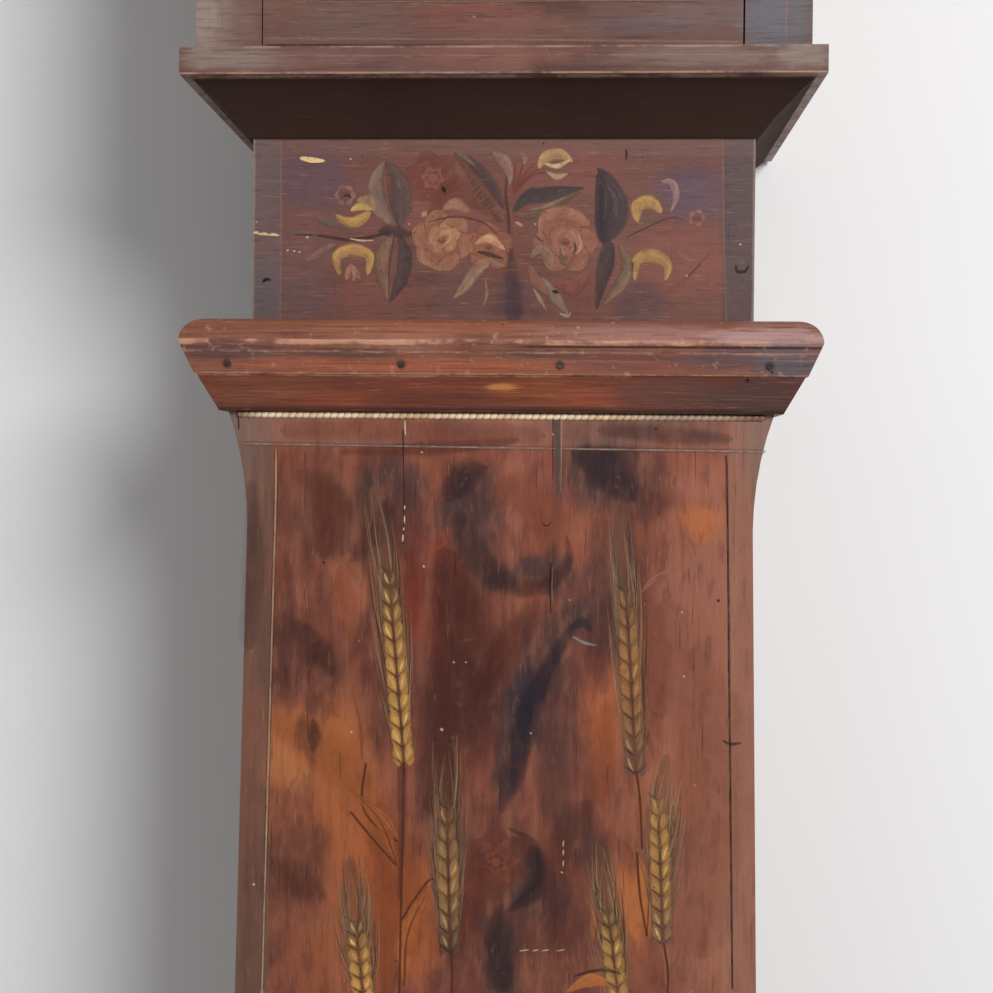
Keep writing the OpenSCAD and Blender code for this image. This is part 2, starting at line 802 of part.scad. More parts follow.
module lock_bolt() {
    rest_gap = 1;
    color("silver") translate([lock_x0 + lock_wall + rest_gap, bolt_y, bolt_z])
        cube([lock_w - lock_wall - 1.5 * rest_gap, bolt_t, bolt_h]);
}
module trunk_key() {
    bow_y = front_y - 30;
    bow_r = 11;
    bow_t = 3;
    eye_x = 4.6;
    bow_eye_r = 3.4;
    bit_t = 2;
    bit_w = 6;
    color("silver") {
        bar(key_x, key_z, key_shaft_d / 2, bow_y, lock_y1 - lock_wall - 1);
        translate([key_x - bit_t / 2, neck_y + lock_wall + 1, key_z - bit_l]) cube([bit_t, bit_w, bit_l]);
        slab(bow_y - bow_t, bow_y) translate([key_x, key_z]) difference() {
            circle(bow_r);
            for (s = [-1, 1]) translate([s * eye_x, 0]) circle(bow_eye_r);
        }
    }
}
module escutcheon() {
    head_r = 10;
    tail_r = 6;
    tail_l = 22;
    thick = 1.2;
    color("goldenrod") slab(front_y - thick, front_y) translate([key_x, key_z]) difference() {
        union() {
            circle(head_r);
            translate([-tail_r, -tail_l]) square([2 * tail_r, tail_l]);
            translate([0, -tail_l]) circle(tail_r);
        }
        circle(key_shaft_d / 2 + fit);
    }
}

// Movement: fixed pieces

bell_post_r = 4;
bell_collar_r = 7;
bell_nut_h = 4;
hammer_post = [10, 16];
hammer_pivot_r = 2;
hammer_t = 4;
bell_seat = sqrt((bell_r - bell_t) * (bell_r - bell_t) - bell_collar_r * bell_collar_r);
module movement_cage() {
    color("dimgray") {
        difference() {
            translate([-cage_half, cage_y0, cage_z0]) cube([cage_w, cage_d, plate_t]);
            slots();
        }
        translate([-cage_half, cage_y0, plates_z1]) cube([cage_w, cage_d, plate_t]);
        for (x = [-cage_half, cage_half - pillar_w], y = [cage_y0, cage_y1 - pillar_w])
            translate([x, y, plates_z0 + seam])
                cube([pillar_w, pillar_w, plates_z1 - plates_z0 - 2 * seam]);
        translate([0, bell_y, cage_z1 + seam]) {
            cylinder(r = bell_post_r, h = bell_rise + bell_r + 2 * bell_nut_h);
            cylinder(r = bell_collar_r, h = bell_rise + bell_seat - seam - fit);
            translate([0, 0, bell_rise + bell_r + fit]) cylinder(r = bell_collar_r, h = bell_nut_h);
        }
        difference() {
            translate([-hammer_x - hammer_post[0] / 2, bell_y + hammer_t, cage_z1 + seam])
                cube([hammer_post[0], hammer_post[1], hammer_post_h]);
            bar(-hammer_x, hammer_z, hammer_pivot_r + fit, bell_y, bell_y + 2 * hammer_post[1]);
        }
    }
}

// Three straps in front and three behind, bored for the arbors
module strap_holes(y0, y1) {
    r = arbor_r + fit;
    for (s = [-1, 1]) bar(s * winder_x, winder_z, winder_r + fit, y0, y1);
    for (z = [0, escape_rise, anchor_rise]) bar(0, hands_z + z, r, y0, y1);
    bar(winder_x, hands_z + third_dz, r, y0, y1);
    bar(-winder_x, hands_z + pin_dz, r, y0, y1);
    bar(-winder_x, hands_z + fly_dz, fly_arbor_r + fit, y0, y1);
}
stud_d = 3;
module movement_straps() {
    color("slategray") {
        difference() {
            for (x = [-winder_x, 0, winder_x], y = [cage_y0, strap_y1])
                translate([x - strap_w / 2, y, plates_z0])
                    cube([strap_w, strap_t, plates_z1 - plates_z0]);
            strap_holes(cage_y0 - 1, cage_y1 + 1);
        }
        bar(0, hands_z - motion_gap, stud_d / 2, hour_wheel_y - motion_t - 1, cage_y0 + eps);
    }
}

module dial() {
    color("ivory") slab(dial_y, dial_y + dial_t) translate([0, hands_z]) difference() {
        circle(dial_r, $fn = round_fn);
        circle(dial_hole_r);
        for (s = [-1, 1]) translate([s * winder_x, winder_dz]) circle(winder_r + 1.5);
    }
}
surround_z0 = hands_z - dial_r - 14;
module dial_surround() {
    crown_r = surround_w / 2;
    crown_z = surround_z0 + surround_h - crown_r;
    color("goldenrod") {
        slab(surround_y, surround_y + surround_t) difference() {
            union() {
                translate([-crown_r, surround_z0]) square([surround_w, crown_z - surround_z0]);
                translate([0, crown_z]) circle(crown_r, $fn = round_fn);
            }
            translate([0, hands_z]) circle(dial_r - 8, $fn = round_fn);
        }
        for (x = [-1, 1], z = [cage_z0 + 20, cage_z1 - 20])
            bar(x * (cage_half - pillar_w / 2), z, 2, surround_y + eps, cage_y0);
    }
}

// Cock over the back of the cage, with the stud that the pendulum hangs from
module pendulum_cock() {
    cock_w = 24;
    arm_y0 = cage_y1 - 25;
    arm_y1 = pendulum_y + eye_t / 2 + 7;
    color("dimgray") {
        translate([-cock_w / 2, arm_y0, cage_z1]) cube([cock_w, arm_y1 - arm_y0, 5]);
        translate([-cock_w / 2, arm_y1 - 4, anchor_z - 10])
            cube([cock_w, 4, cage_z1 - anchor_z + 10 + eps]);
        bar(0, anchor_z, stud_r, pendulum_y - eye_t / 2, arm_y1 - 2);
    }
}

module bell() {
    color("gold") translate([0, bell_y, bell_z]) difference() {
        sphere(bell_r, $fn = round_fn);
        sphere(bell_r - bell_t, $fn = round_fn);
        translate([-bell_r - 1, -bell_r - 1, -2 * bell_r]) cube([2 * bell_r + 2, 2 * bell_r + 2, 2 * bell_r]);
        cylinder(r = bell_post_r + fit, h = 2 * bell_r);
    }
}

// Hammer on its arbor, standing just off the bell
module bell_hammer() {
    head_z = bell_z + 22;
    head_gap = 3;
    head_r = 7;
    reach = sqrt(bell_r * bell_r - (head_z - bell_z) * (head_z - bell_z));
    half_t = hammer_t / 2;
    color("dimgray") {
        bar(-hammer_x, hammer_z, hammer_pivot_r, bell_y - half_t, bell_y + hammer_t + hammer_post[1] + 2);
        translate([-hammer_x - half_t, bell_y - half_t, hammer_z - hammer_t])
            cube([hammer_t, hammer_t, head_z - hammer_z + hammer_t]);
        translate([-hammer_x - hammer_t, bell_y, head_z]) rotate([0, 90, 0])
            cylinder(r = head_r, h = hammer_x + hammer_t - reach - head_gap - head_r);
        translate([-reach - head_gap - head_r, bell_y, head_z]) sphere(head_r);
    }
}

// Movement: going train

// Tooth of the driver and gap of the pinion meet on the line between two arbors
third_aim = atan2(third_dz, winder_x);
great_aim = atan2(-winder_dz, -winder_x);
escape_aim = atan2(escape_rise - third_dz, -winder_x);
module centre_arbor() {
    color("goldenrod") translate([0, 0, hands_z]) {
        bar(0, 0, arbor_r, minute_hand_y - 2, cage_y1 - 0.5);
        slab(centre_wheel_y, centre_wheel_y + wheel_t)
            spoked_wheel(centre_teeth, centre_m, third_aim, 8, 4);
        slab(going_wheel_y - 1, going_wheel_y + great_t + 1)
            pinion_outline(great_leaves, great_m, great_aim + 180);
        slab(minute_wheel_y, minute_wheel_y + motion_t)
            pinion_outline(cannon_teeth, cannon_m, -90);
    }
}
module minute_hand() {
    color("black") slab(minute_hand_y, minute_hand_y + hand_t) translate([0, hands_z]) difference() {
        union() {
            circle(6);
            polygon([[-2, 0], [2, 0], [3.4, 0.66 * minute_l], [0, minute_l], [-3.4, 0.66 * minute_l]]);
            polygon([[-2.6, -20], [2.6, -20], [1.6, -3], [-1.6, -3]]);
        }
        circle(arbor_r + fit);
    }
}
module hour_hand() {
    turn = -60;
    color("black") difference() {
        translate([0, 0, hands_z]) {
            bar(0, 0, pipe_r, hour_hand_y - 0.5, hour_wheel_y + motion_t);
            slab(hour_wheel_y, hour_wheel_y + motion_t) wheel_outline(motion_hour, hour_m, -90);
            slab(hour_hand_y, hour_hand_y + hand_t) rotate(turn) {
                circle(9);
                polygon([[-2.6, 0], [2.6, 0], [6, 0.6 * hour_l], [0, hour_l], [-6, 0.6 * hour_l]]);
            }
        }
        bar(0, hands_z, arbor_r + fit, hour_hand_y - 2, cage_y0);
    }
}
module minute_wheel() {
    color("goldenrod") translate([0, 0, hands_z - motion_gap]) difference() {
        union() {
            slab(minute_wheel_y, minute_wheel_y + motion_t) wheel_outline(motion_minute, cannon_m, 90);
            slab(hour_wheel_y - 0.5, minute_wheel_y + eps) pinion_outline(motion_leaves, hour_m, 90);
        }
        bar(0, 0, stud_d / 2 + fit, hour_wheel_y - 4, cage_y0);
    }
}
// Great wheel, loose on the winding arbor, with the click that holds the barrel
module great_wheel(s, y) {
    aim = s > 0 ? great_aim : 90;
    color("goldenrod") translate([s * winder_x, 0, winder_z]) {
        slab(y, y + great_t) difference() {
            spoked_wheel(great_teeth, great_m, aim, 14, 5);
            circle(winder_r + fit);
        }
        slab(y - ratchet_gap - ratchet_t, y + eps)
            rotate(aim) translate([ratchet_r + seat, -click_w / 2]) square([12, click_w]);
    }
}
module going_great_wheel() { great_wheel(1, going_wheel_y); }
module third_wheel() {
    color("goldenrod") translate([winder_x, 0, hands_z + third_dz]) {
        bar(0, 0, arbor_r, cage_y0 + 0.5, cage_y1 - 0.5);
        slab(third_wheel_y, third_wheel_y + wheel_t)
            spoked_wheel(third_teeth, third_m, escape_aim, 7, 4);
        slab(centre_wheel_y - 1, centre_wheel_y + wheel_t + 1)
            pinion_outline(pinion_leaves, centre_m, third_aim + 180);
    }
}
module escape_wheel() {
    points = [for (i = [0 : escape_teeth - 1]) let (a = i * 360 / escape_teeth)
        for (p = [[escape_r - 5, 0], [escape_r, 3.4], [escape_r, 4.4], [escape_r - 5, 6.6]])
            [p[0] * cos(a + p[1]), p[0] * sin(a + p[1])]];
    color("goldenrod") translate([0, 0, hands_z + escape_rise]) {
        bar(0, 0, arbor_r, cage_y0 + 0.5, cage_y1 - 0.5);
        slab(escape_y, escape_y + wheel_t) difference() {
            polygon(points);
            difference() {
                circle(escape_r - 7.5);
                circle(6);
                for (i = [0 : 3]) rotate(i * 90) translate([0, -1.2]) square([escape_r - 6, 2.4]);
            }
        }
        slab(third_wheel_y - 1, third_wheel_y + wheel_t + 1)
            pinion_outline(pinion_leaves, third_m, escape_aim + 180);
    }
}

// Anchor over the escape wheel, and the crutch that moves with the pendulum
// The pallets clear the circle of the tips by pallet_gap where the anchor rocks closest to it
pallet_gap = 0.45;
pallet_dip = 1.15;
module anchor() {
    drop = anchor_rise - escape_rise;
    pallet_x = 19;
    pallet_r = escape_r + pallet_dip + pallet_gap;
    pallet_z = sqrt(pallet_r * pallet_r - pallet_x * pallet_x) - drop;
    color("silver") translate([0, 0, anchor_z]) {
        bar(0, 0, arbor_r, cage_y0 + 0.5, crutch_y + crutch_t + 1);
        slab(escape_y, escape_y + wheel_t) {
            circle(6);
            for (s = [-1, 1]) mirror([s < 0 ? 1 : 0, 0]) polygon([
                [0, 5], [0, -2], [pallet_x - 4, pallet_z + 4], [pallet_x, pallet_z],
                [pallet_x + 4, pallet_z + 1], [pallet_x + 1, pallet_z + 8], [6, 5]
            ]);
        }
        slab(crutch_y, crutch_y + crutch_t) {
            translate([-3, -crutch_l]) square([6, crutch_l]);
            circle(6);
        }
        for (s = [0, 1]) mirror([s, 0, 0])
            translate([rod_d / 2 + fit, crutch_y, -crutch_l - 8])
                cube([2.5, pendulum_y + rod_d / 2 - crutch_y, 10]);
        translate([-rod_d / 2 - 2.5, crutch_y, -crutch_l - 2]) cube([rod_d + 5, crutch_t, 6]);
    }
}

// Pendulum: eye, rod, bob and rating nut
module pendulum_rod() {
    nut_r = 8;
    rod_end = bob_z - bob_r - 26;
    nut_z = bob_z - bob_r - 7;
    color("gray") {
        slab(pendulum_y - eye_t / 2, pendulum_y + eye_t / 2) translate([0, anchor_z]) difference() {
            circle(eye_r);
            circle(stud_r + fit);
        }
        translate([0, pendulum_y, rod_end]) cylinder(d = rod_d, h = anchor_z - eye_r + 1 - rod_end);
        translate([0, pendulum_y, nut_z]) cylinder(r = nut_r, h = 7 - seat);
    }
}
module pendulum_bob() {
    lens_r = (bob_r * bob_r + bob_t * bob_t / 4) / bob_t;
    color("goldenrod") translate([0, pendulum_y, bob_z]) difference() {
        intersection() {
            translate([0, lens_r - bob_t / 2, 0]) sphere(lens_r, $fn = round_fn);
            translate([0, bob_t / 2 - lens_r, 0]) sphere(lens_r, $fn = round_fn);
        }
        translate([0, 0, -2 * bob_r]) cylinder(r = rod_d / 2 + fit, h = 4 * bob_r);
    }
}

// Barrels, ropes and weights

module barrel(s, wheel_y) {
    square_w = 7;
    color("slategray") translate([s * winder_x, 0, winder_z]) {
        bar(0, 0, winder_r, dial_y - 1, cage_y1 - 0.5);
        translate([-square_w / 2, dial_y - 3, -square_w / 2]) cube([square_w, 4, square_w]);
        bar(0, 0, drum_r, drum_y0, drum_y1);
        bar(0, 0, layer_r, drum_y0 + flange_t, drum_y1 - flange_t);
        bar(0, 0, flange_r, drum_y0 - flange_t, drum_y0);
        bar(0, 0, flange_r, drum_y1, drum_y1 + flange_t);
        slab(wheel_y - ratchet_gap - ratchet_t - eps, wheel_y - ratchet_gap)
            polygon([for (i = [0 : 23]) for (p = [[ratchet_r - 2.5, 0], [ratchet_r, 12]])
                [p[0] * cos(i * 15 + p[1]), p[0] * sin(i * 15 + p[1])]]);
    }
}
module going_barrel() { barrel(1, going_wheel_y); }
module strike_barrel() { barrel(-1, strike_wheel_y); }

module rope(s) {
    color("burlywood") translate([s * rope_x, rope_y, stem_top]) cylinder(r = rope_r, h = rope_top - stem_top);
}
module going_rope() { rope(1); }
module strike_rope() { rope(-1); }
module weight(s) {
    color("dimgray") translate([s * rope_x, rope_y, weight_z]) {
        cylinder(r = weight_r, h = weight_h);
        translate([0, 0, weight_h - eps]) cylinder(r = stem_r, h = stem_h + eps);
    }
}
module going_weight() { weight(1); }
module strike_weight() { weight(-1); }

// Movement: strike train

module strike_great_wheel() { great_wheel(-1, strike_wheel_y); }
module pin_wheel() {
    pins = 8;
    color("goldenrod") translate([-winder_x, 0, hands_z + pin_dz]) {
        bar(0, 0, arbor_r, cage_y0 + 0.5, cage_y1 - 0.5);
        slab(pin_wheel_y, pin_wheel_y + wheel_t) spoked_wheel(pin_teeth, pin_m, 90, 7, 4);
        slab(strike_wheel_y - 1, strike_wheel_y + great_t + 1)
            pinion_outline(great_leaves, great_m, -90);
        for (i = [0 : pins - 1]) rotate([0, i * 360 / pins, 0])
            bar(pin_m * pin_teeth / 2 - 2.5, 0, 1.2, pin_wheel_y - 6, pin_wheel_y + eps);
    }
}
module fly() {
    blade = [44, 40];
    color("goldenrod") translate([-winder_x, 0, hands_z + fly_dz]) {
        bar(0, 0, fly_arbor_r, cage_y0 + 0.5, cage_y1 - 0.5);
        slab(pin_wheel_y - 1, pin_wheel_y + wheel_t + 1) pinion_outline(fly_leaves, pin_m, -90);
        translate([-blade[0] / 2, fly_y, -0.6]) cube([blade[0], blade[1], 1.2]);
    }
}

back_board();
trunk_side(-1);  // trunk_left_side
trunk_side(1);  // trunk_right_side
trunk_front();
rope_bead();
waist_moulding_front();
waist_moulding_returns();
moulding_nails();
neck_front();
neck_sides();
hood_moulding_front();
hood_moulding_returns();
hood_side(-1);  // hood_left_side
hood_side(1);  // hood_right_side
hood_front_frame();
hood_roof();
cornice();
seat_board();
plinth_panels();
plinth_cap();
skirting();
floor_board();
hood_door();
hood_door_glass();
hood_hinge_knuckles();
hood_turn_button();
trunk_door();
door_battens();
trunk_hinge_knuckles();
door_hinge_pins();
lock_case();
lock_bolt();
trunk_key();
escutcheon();
movement_cage();
movement_straps();
dial();
dial_surround();
pendulum_cock();
bell();
bell_hammer();
centre_arbor();
minute_hand();
hour_hand();
minute_wheel();
going_great_wheel();
third_wheel();
escape_wheel();
anchor();
pendulum_rod();
pendulum_bob();
going_barrel();
going_rope();
going_weight();
strike_great_wheel();
pin_wheel();
fly();
strike_barrel();
strike_rope();
strike_weight();
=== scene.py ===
# Looks of a painted longcase clock: clouded boards with gilt wheat ears, a spray of roses
# on the neck, a gilt rope bead, iron movement, enamel dial. Metres; the front faces -Y.
import math
import random

import bpy
from mathutils import Matrix, Vector


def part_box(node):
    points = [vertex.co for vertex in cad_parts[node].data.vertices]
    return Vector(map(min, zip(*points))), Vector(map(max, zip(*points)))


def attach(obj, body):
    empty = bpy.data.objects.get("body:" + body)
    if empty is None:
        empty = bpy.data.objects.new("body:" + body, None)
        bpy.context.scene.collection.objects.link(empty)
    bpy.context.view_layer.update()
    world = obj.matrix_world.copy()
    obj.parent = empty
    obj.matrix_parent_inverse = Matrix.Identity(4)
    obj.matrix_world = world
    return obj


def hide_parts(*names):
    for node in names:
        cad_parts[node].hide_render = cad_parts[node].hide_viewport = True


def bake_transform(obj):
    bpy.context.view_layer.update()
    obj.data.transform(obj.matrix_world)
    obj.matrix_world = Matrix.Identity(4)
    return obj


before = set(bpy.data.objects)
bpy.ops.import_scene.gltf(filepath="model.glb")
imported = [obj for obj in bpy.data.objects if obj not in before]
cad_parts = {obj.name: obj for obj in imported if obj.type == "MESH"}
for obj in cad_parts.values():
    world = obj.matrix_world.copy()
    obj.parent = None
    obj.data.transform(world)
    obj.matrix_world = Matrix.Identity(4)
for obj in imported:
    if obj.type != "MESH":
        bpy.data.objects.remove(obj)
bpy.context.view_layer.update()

MM = 0.001


def edge(node, side):
    """One face of a node's box: 'x0', 'x1', 'y0', 'y1', 'z0' or 'z1'."""
    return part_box(node)[int(side[1])]["xyz".index(side[0])]


# Places on the clock that the painting and the fittings are laid out from
TRUNK_Y = edge("trunk_front", "y0")
TRUNK_FOOT = edge("trunk_front", "z0")
TRUNK_TOP = edge("waist_moulding_front", "z0")
DOOR_TOP = edge("trunk_door", "z1")
DOOR_FOOT = edge("trunk_door", "z0")
NECK_Y = edge("neck_front", "y0")
NECK_FOOT = edge("waist_moulding_front", "z1")
NECK_HEAD = edge("hood_moulding_front", "z0")
HOOD_Y = edge("hood_front_frame", "y0")
HOOD_FOOT = edge("hood_front_frame", "z0")
HOOD_HEAD = edge("hood_front_frame", "z1")
FASCIA_HEAD = edge("hood_moulding_front", "z1")
NOSE_Y = edge("waist_moulding_front", "y0")
PLINTH_Y = edge("plinth_panels", "y0")
BACK_Y = edge("back_board", "y1")
NECK_HALF = edge("neck_front", "x1")
ARRIS_Z = TRUNK_TOP + 22.5 * MM
NOSE_Z = NECK_FOOT - 15 * MM
FASCIA_FOOT = FASCIA_HEAD - 17 * MM

# Painted borders: how far from the middle their inner lines run, and what a pixel of the photo
# measures on the neck and on the trunk
TRUNK_BORDER = 143 * MM
NECK_BORDER = NECK_HALF - 19.5 * MM
NECK_PIXEL = 0.636 * MM
TRUNK_PIXEL = 0.628 * MM
CLOUD_PIXEL = 0.64 * MM

# Camera: close in front of the neck, a little to the right of the middle
PHOTO_SIZE = 993
FOCAL_PX = 1500.0
CAMERA_AT = Vector((0.0424, NECK_Y - 0.9561, 1.5175))
TURN_LEFT = 0.0461
LOOK_UP = -0.0109
LEAN = 0.0098
CAMERA_TURN = (
    Matrix.Rotation(TURN_LEFT, 3, "Z")
    @ Matrix.Rotation(math.pi / 2 + LOOK_UP, 3, "X")
    @ Matrix.Rotation(LEAN, 3, "Z")
)


def place_camera():
    """The camera of the photograph."""
    data = bpy.data.cameras.new("camera")
    data.sensor_width = 36
    data.lens = data.sensor_width * FOCAL_PX / PHOTO_SIZE
    data.clip_end = 40
    camera = bpy.data.objects.new("camera", data)
    camera.matrix_world = Matrix.Translation(CAMERA_AT) @ CAMERA_TURN.to_4x4()
    bpy.context.scene.collection.objects.link(camera)
    bpy.context.scene.camera = camera


def on_board(px, py, face_y):
    """Where a place of the photo, in its pixels, lies on an upright face of the clock."""
    side = (px - PHOTO_SIZE / 2) / FOCAL_PX
    rise = (PHOTO_SIZE / 2 - py) / FOCAL_PX
    ray = CAMERA_TURN @ Vector((side, rise, -1.0))
    return CAMERA_AT + ray * ((face_y - CAMERA_AT.y) / ray.y)


def srgb(r, g, b):
    """A colour as seen on a screen, 0 to 255, as the linear colour that a shader takes."""
    shares = (r / 255, g / 255, b / 255)
    linear = [c / 12.92 if c <= 0.04045 else ((c + 0.055) / 1.055) ** 2.4 for c in shares]
    return (*linear, 1.0)


def paint(colour):
    """A colour of a table: three screen values, or a paint that is mixed already."""
    return srgb(*colour) if len(colour) == 3 else colour


class Signal:
    """A shader socket. Arithmetic on it adds Math nodes."""

    def __init__(self, finish, socket):
        self.finish = finish
        self.socket = socket

    def math(self, operation, *values):
        return self.finish.add("ShaderNodeMath", {"operation": operation}, *values)

    def __add__(self, other):
        return self.math("ADD", self, other)

    def __radd__(self, other):
        return self.math("ADD", other, self)

    def __sub__(self, other):
        return self.math("SUBTRACT", self, other)

    def __rsub__(self, other):
        return self.math("SUBTRACT", other, self)

    def __mul__(self, other):
        return self.math("MULTIPLY", self, other)

    def __rmul__(self, other):
        return self.math("MULTIPLY", other, self)

    def __truediv__(self, other):
        return self.math("DIVIDE", self, other)

    def __abs__(self):
        return self.math("ABSOLUTE", self)


class Finish:
    """A material that is built up from noise, masks and mixed colours."""

    def __init__(self, name):
        self.material = bpy.data.materials.new(name)
        self.material.use_nodes = True
        self.tree = self.material.node_tree
        self.tree.nodes.clear()
        self.output = self.tree.nodes.new("ShaderNodeOutputMaterial")
        self.shader = self.tree.nodes.new("ShaderNodeBsdfPrincipled")
        self.tree.links.new(self.shader.outputs[0], self.output.inputs["Surface"])
        self.place = self.add("ShaderNodeTexCoord", {}, out="Object")
        self.x, self.y, self.z = self.parts(self.place)

    def add(self, kind, settings, *values, out=0, whole=False, **named):
        """Adds a node: its settings first, then values or links for its sockets."""
        node = self.tree.nodes.new(kind)
        for key, value in settings.items():
            setattr(node, key, value)
        for i, value in enumerate(values):
            self.put(node.inputs[i], value)
        for key, value in named.items():
            self.put(node.inputs[key.replace("_", " ")], value)
        return node if whole else Signal(self, node.outputs[out])

    def put(self, socket, value):
        """Links a signal to a socket, or writes a constant straight on it."""
        if isinstance(value, Signal):
            self.tree.links.new(value.socket, socket)
        else:
            socket.default_value = value

    def parts(self, vector):
        split = self.add("ShaderNodeSeparateXYZ", {}, vector, whole=True)
        return [Signal(self, s) for s in split.outputs]

    def vector(self, operation, *values, out=0):
        return self.add("ShaderNodeVectorMath", {"operation": operation}, *values, out=out)

    def stretch(self, x, y, z, base=None):
        """The place with each direction multiplied, for grain and brush marks."""
        return self.vector("MULTIPLY", base or self.place, (x, y, z))

    def noise(self, scale, detail=3.0, rough=0.55, where=None, distort=0.0, seed=0.0):
        where = where or self.place
        if seed:
            where = self.vector("ADD", where, (seed, 1.7 * seed, 0.6 * seed))
        return self.add("ShaderNodeTexNoise", {}, Vector=where, Scale=scale, Detail=detail,
                        Roughness=rough, Distortion=distort)

    def drawn(self, run, detail, rough, **more):
        """Noise of scale 1 with the place multiplied by run, so it is drawn out along a board."""
        return self.noise(1.0, detail, rough, where=self.stretch(*run), **more)

    def smooth(self, value, low, high, to_low=0.0, to_high=1.0):
        """Passes softly from to_low to to_high while value goes from low to high."""
        return self.add("ShaderNodeMapRange", {"interpolation_type": "SMOOTHSTEP"}, value, low, high,
                        to_low, to_high)

    def near(self, value, middle, half):
        """1 where value is within half of middle, fading to 0."""
        return self.smooth(abs(value - middle), half, 0.4 * half)

    def mix(self, share, a, b):
        """Colour a, with b over it where share is 1."""
        node = self.add("ShaderNodeMix", {"data_type": "RGBA"}, share, whole=True)
        self.put(node.inputs[6], a)
        self.put(node.inputs[7], b)
        return Signal(self, node.outputs[2])

    def glaze(self, colour, where, low, high, strength, tint):
        """Another paint over a colour, where a signal passes from low to high."""
        return self.mix(self.smooth(where, low, high) * strength, colour, paint(tint))

    def set(self, **sockets):
        for key, value in sockets.items():
            self.put(self.shader.inputs[key.replace("_", " ")], value)
        return self

    def bump(self, height, distance, strength=1.0):
        normal = self.add("ShaderNodeBump", {}, Strength=strength, Distance=distance, Height=height)
        return self.set(Normal=normal)


# Paints
PLUM = srgb(82, 50, 45)
SLATE = srgb(65, 51, 51)
GREY_BROWN = srgb(122, 102, 92)
# Pale paint of worn scratches, also painted highlight along the waist moulding's edges
PALE_WEAR_AND_HIGHLIGHT = srgb(206, 152, 124)
CREAM = srgb(214, 186, 150)
BARE_WOOD = srgb(150, 112, 76)


def wood_marks(finish, along="z"):
    """Fine grain and brush marks along a board, about 0 to 1."""
    fine = {"z": (420, 420, 26), "x": (26, 420, 420), "y": (420, 26, 420)}[along]
    broad = {"z": (90, 90, 7), "x": (7, 90, 90), "y": (90, 7, 90)}[along]
    grain = finish.drawn(fine, 3, 0.6)
    brush = finish.drawn(broad, 4, 0.6, seed=3.1)
    return grain, brush


def specks(finish, size, share, seed):
    """Small scattered dots: 1 on a dot."""
    spots = finish.add("ShaderNodeTexVoronoi", {"feature": "F1"}, Scale=1 / size, out="Distance",
                       Vector=finish.vector("ADD", finish.place, (seed, seed, seed)))
    chosen = finish.noise(0.35 / size, 0, 0.5, seed=seed + 4)
    return finish.smooth(spots, 0.13, 0.06) * finish.smooth(chosen, share, share + 0.03)


def worn_coat(finish, colour, grain, brush, rough=0.42, depth=0.00035, along="z", marks=1.0):
    """Rubbed oil paint: chips, worm holes, fine scratches, and the bump of grain and brush."""
    chips = specks(finish, 0.010, 0.72, 2.0)
    holes = specks(finish, 0.011, 0.72, 7.0)
    colour = finish.mix(chips * 0.5 * marks, colour, CREAM)
    colour = finish.mix(holes * 0.9, colour, srgb(20, 14, 12))
    run = (900, 900, 60) if along == "z" else (60, 900, 900)
    scratches = finish.drawn(run, 2, 0.5, seed=9.0)
    colour = finish.mix(finish.smooth(scratches, 0.62, 0.74) * 0.2 * marks, colour, PALE_WEAR_AND_HIGHLIGHT)
    colour = finish.glaze(colour, scratches, 0.38, 0.28, 0.30, (46, 28, 26))
    gloss = finish.smooth(brush, 0.3, 0.75, rough - 0.08, rough + 0.12)
    finish.set(Base_Color=colour, Roughness=gloss, Specular_IOR_Level=0.2)
    return finish.bump(grain * 0.5 + brush * 0.8 - holes * 2.2 - chips * 0.4, depth, 0.6)


def tinted(finish, tints, grain, brush, seed, scale):
    """Clouds of three paints from dark to light, broken up by brush marks."""
    dark, mid, light = [paint(tint) for tint in tints]
    cloud = finish.noise(scale, 5, 0.6, where=finish.stretch(1, 1, 0.45), distort=0.6, seed=seed)
    mixed = cloud * 0.7 + brush * 0.3
    low = finish.mix(finish.smooth(mixed, 0.36, 0.5), dark, mid)
    return finish.mix(finish.smooth(mixed + grain * 0.06, 0.54, 0.72), low, light)


def add_clouds(finish, colour, place, clouds, ragged, face_y, spread=1.1):
    """Patches of other paints with brushed rims. Each has its middle and half sizes in pixels
    of the photo, its colour and its strength."""
    for (px, py), (wide, tall), tint, strength in clouds:
        middle = on_board(px, py, face_y)
        wide, tall = wide * CLOUD_PIXEL, tall * CLOUD_PIXEL
        scale = (1 / wide, 0.0, 1 / tall)
        offset = (-middle.x / wide, 0.0, -middle.z / tall)
        reach = finish.vector("LENGTH", finish.vector("MULTIPLY_ADD", place, scale, offset), out="Value")
        share = finish.smooth(reach + (ragged - 0.5) * spread, 1.3, 0.45, 0.0, strength)
        colour = finish.mix(share, colour, paint(tint))
    return colour


def bare_behind(finish, colour, face_y, grain):
    """Unpainted wood on all that lies behind a painted face."""
    wood = finish.mix(finish.smooth(grain, 0.35, 0.7), srgb(120, 84, 56), BARE_WOOD)
    return finish.mix(finish.smooth(finish.y, face_y + 0.7 * MM, face_y + 1.4 * MM), colour, wood)


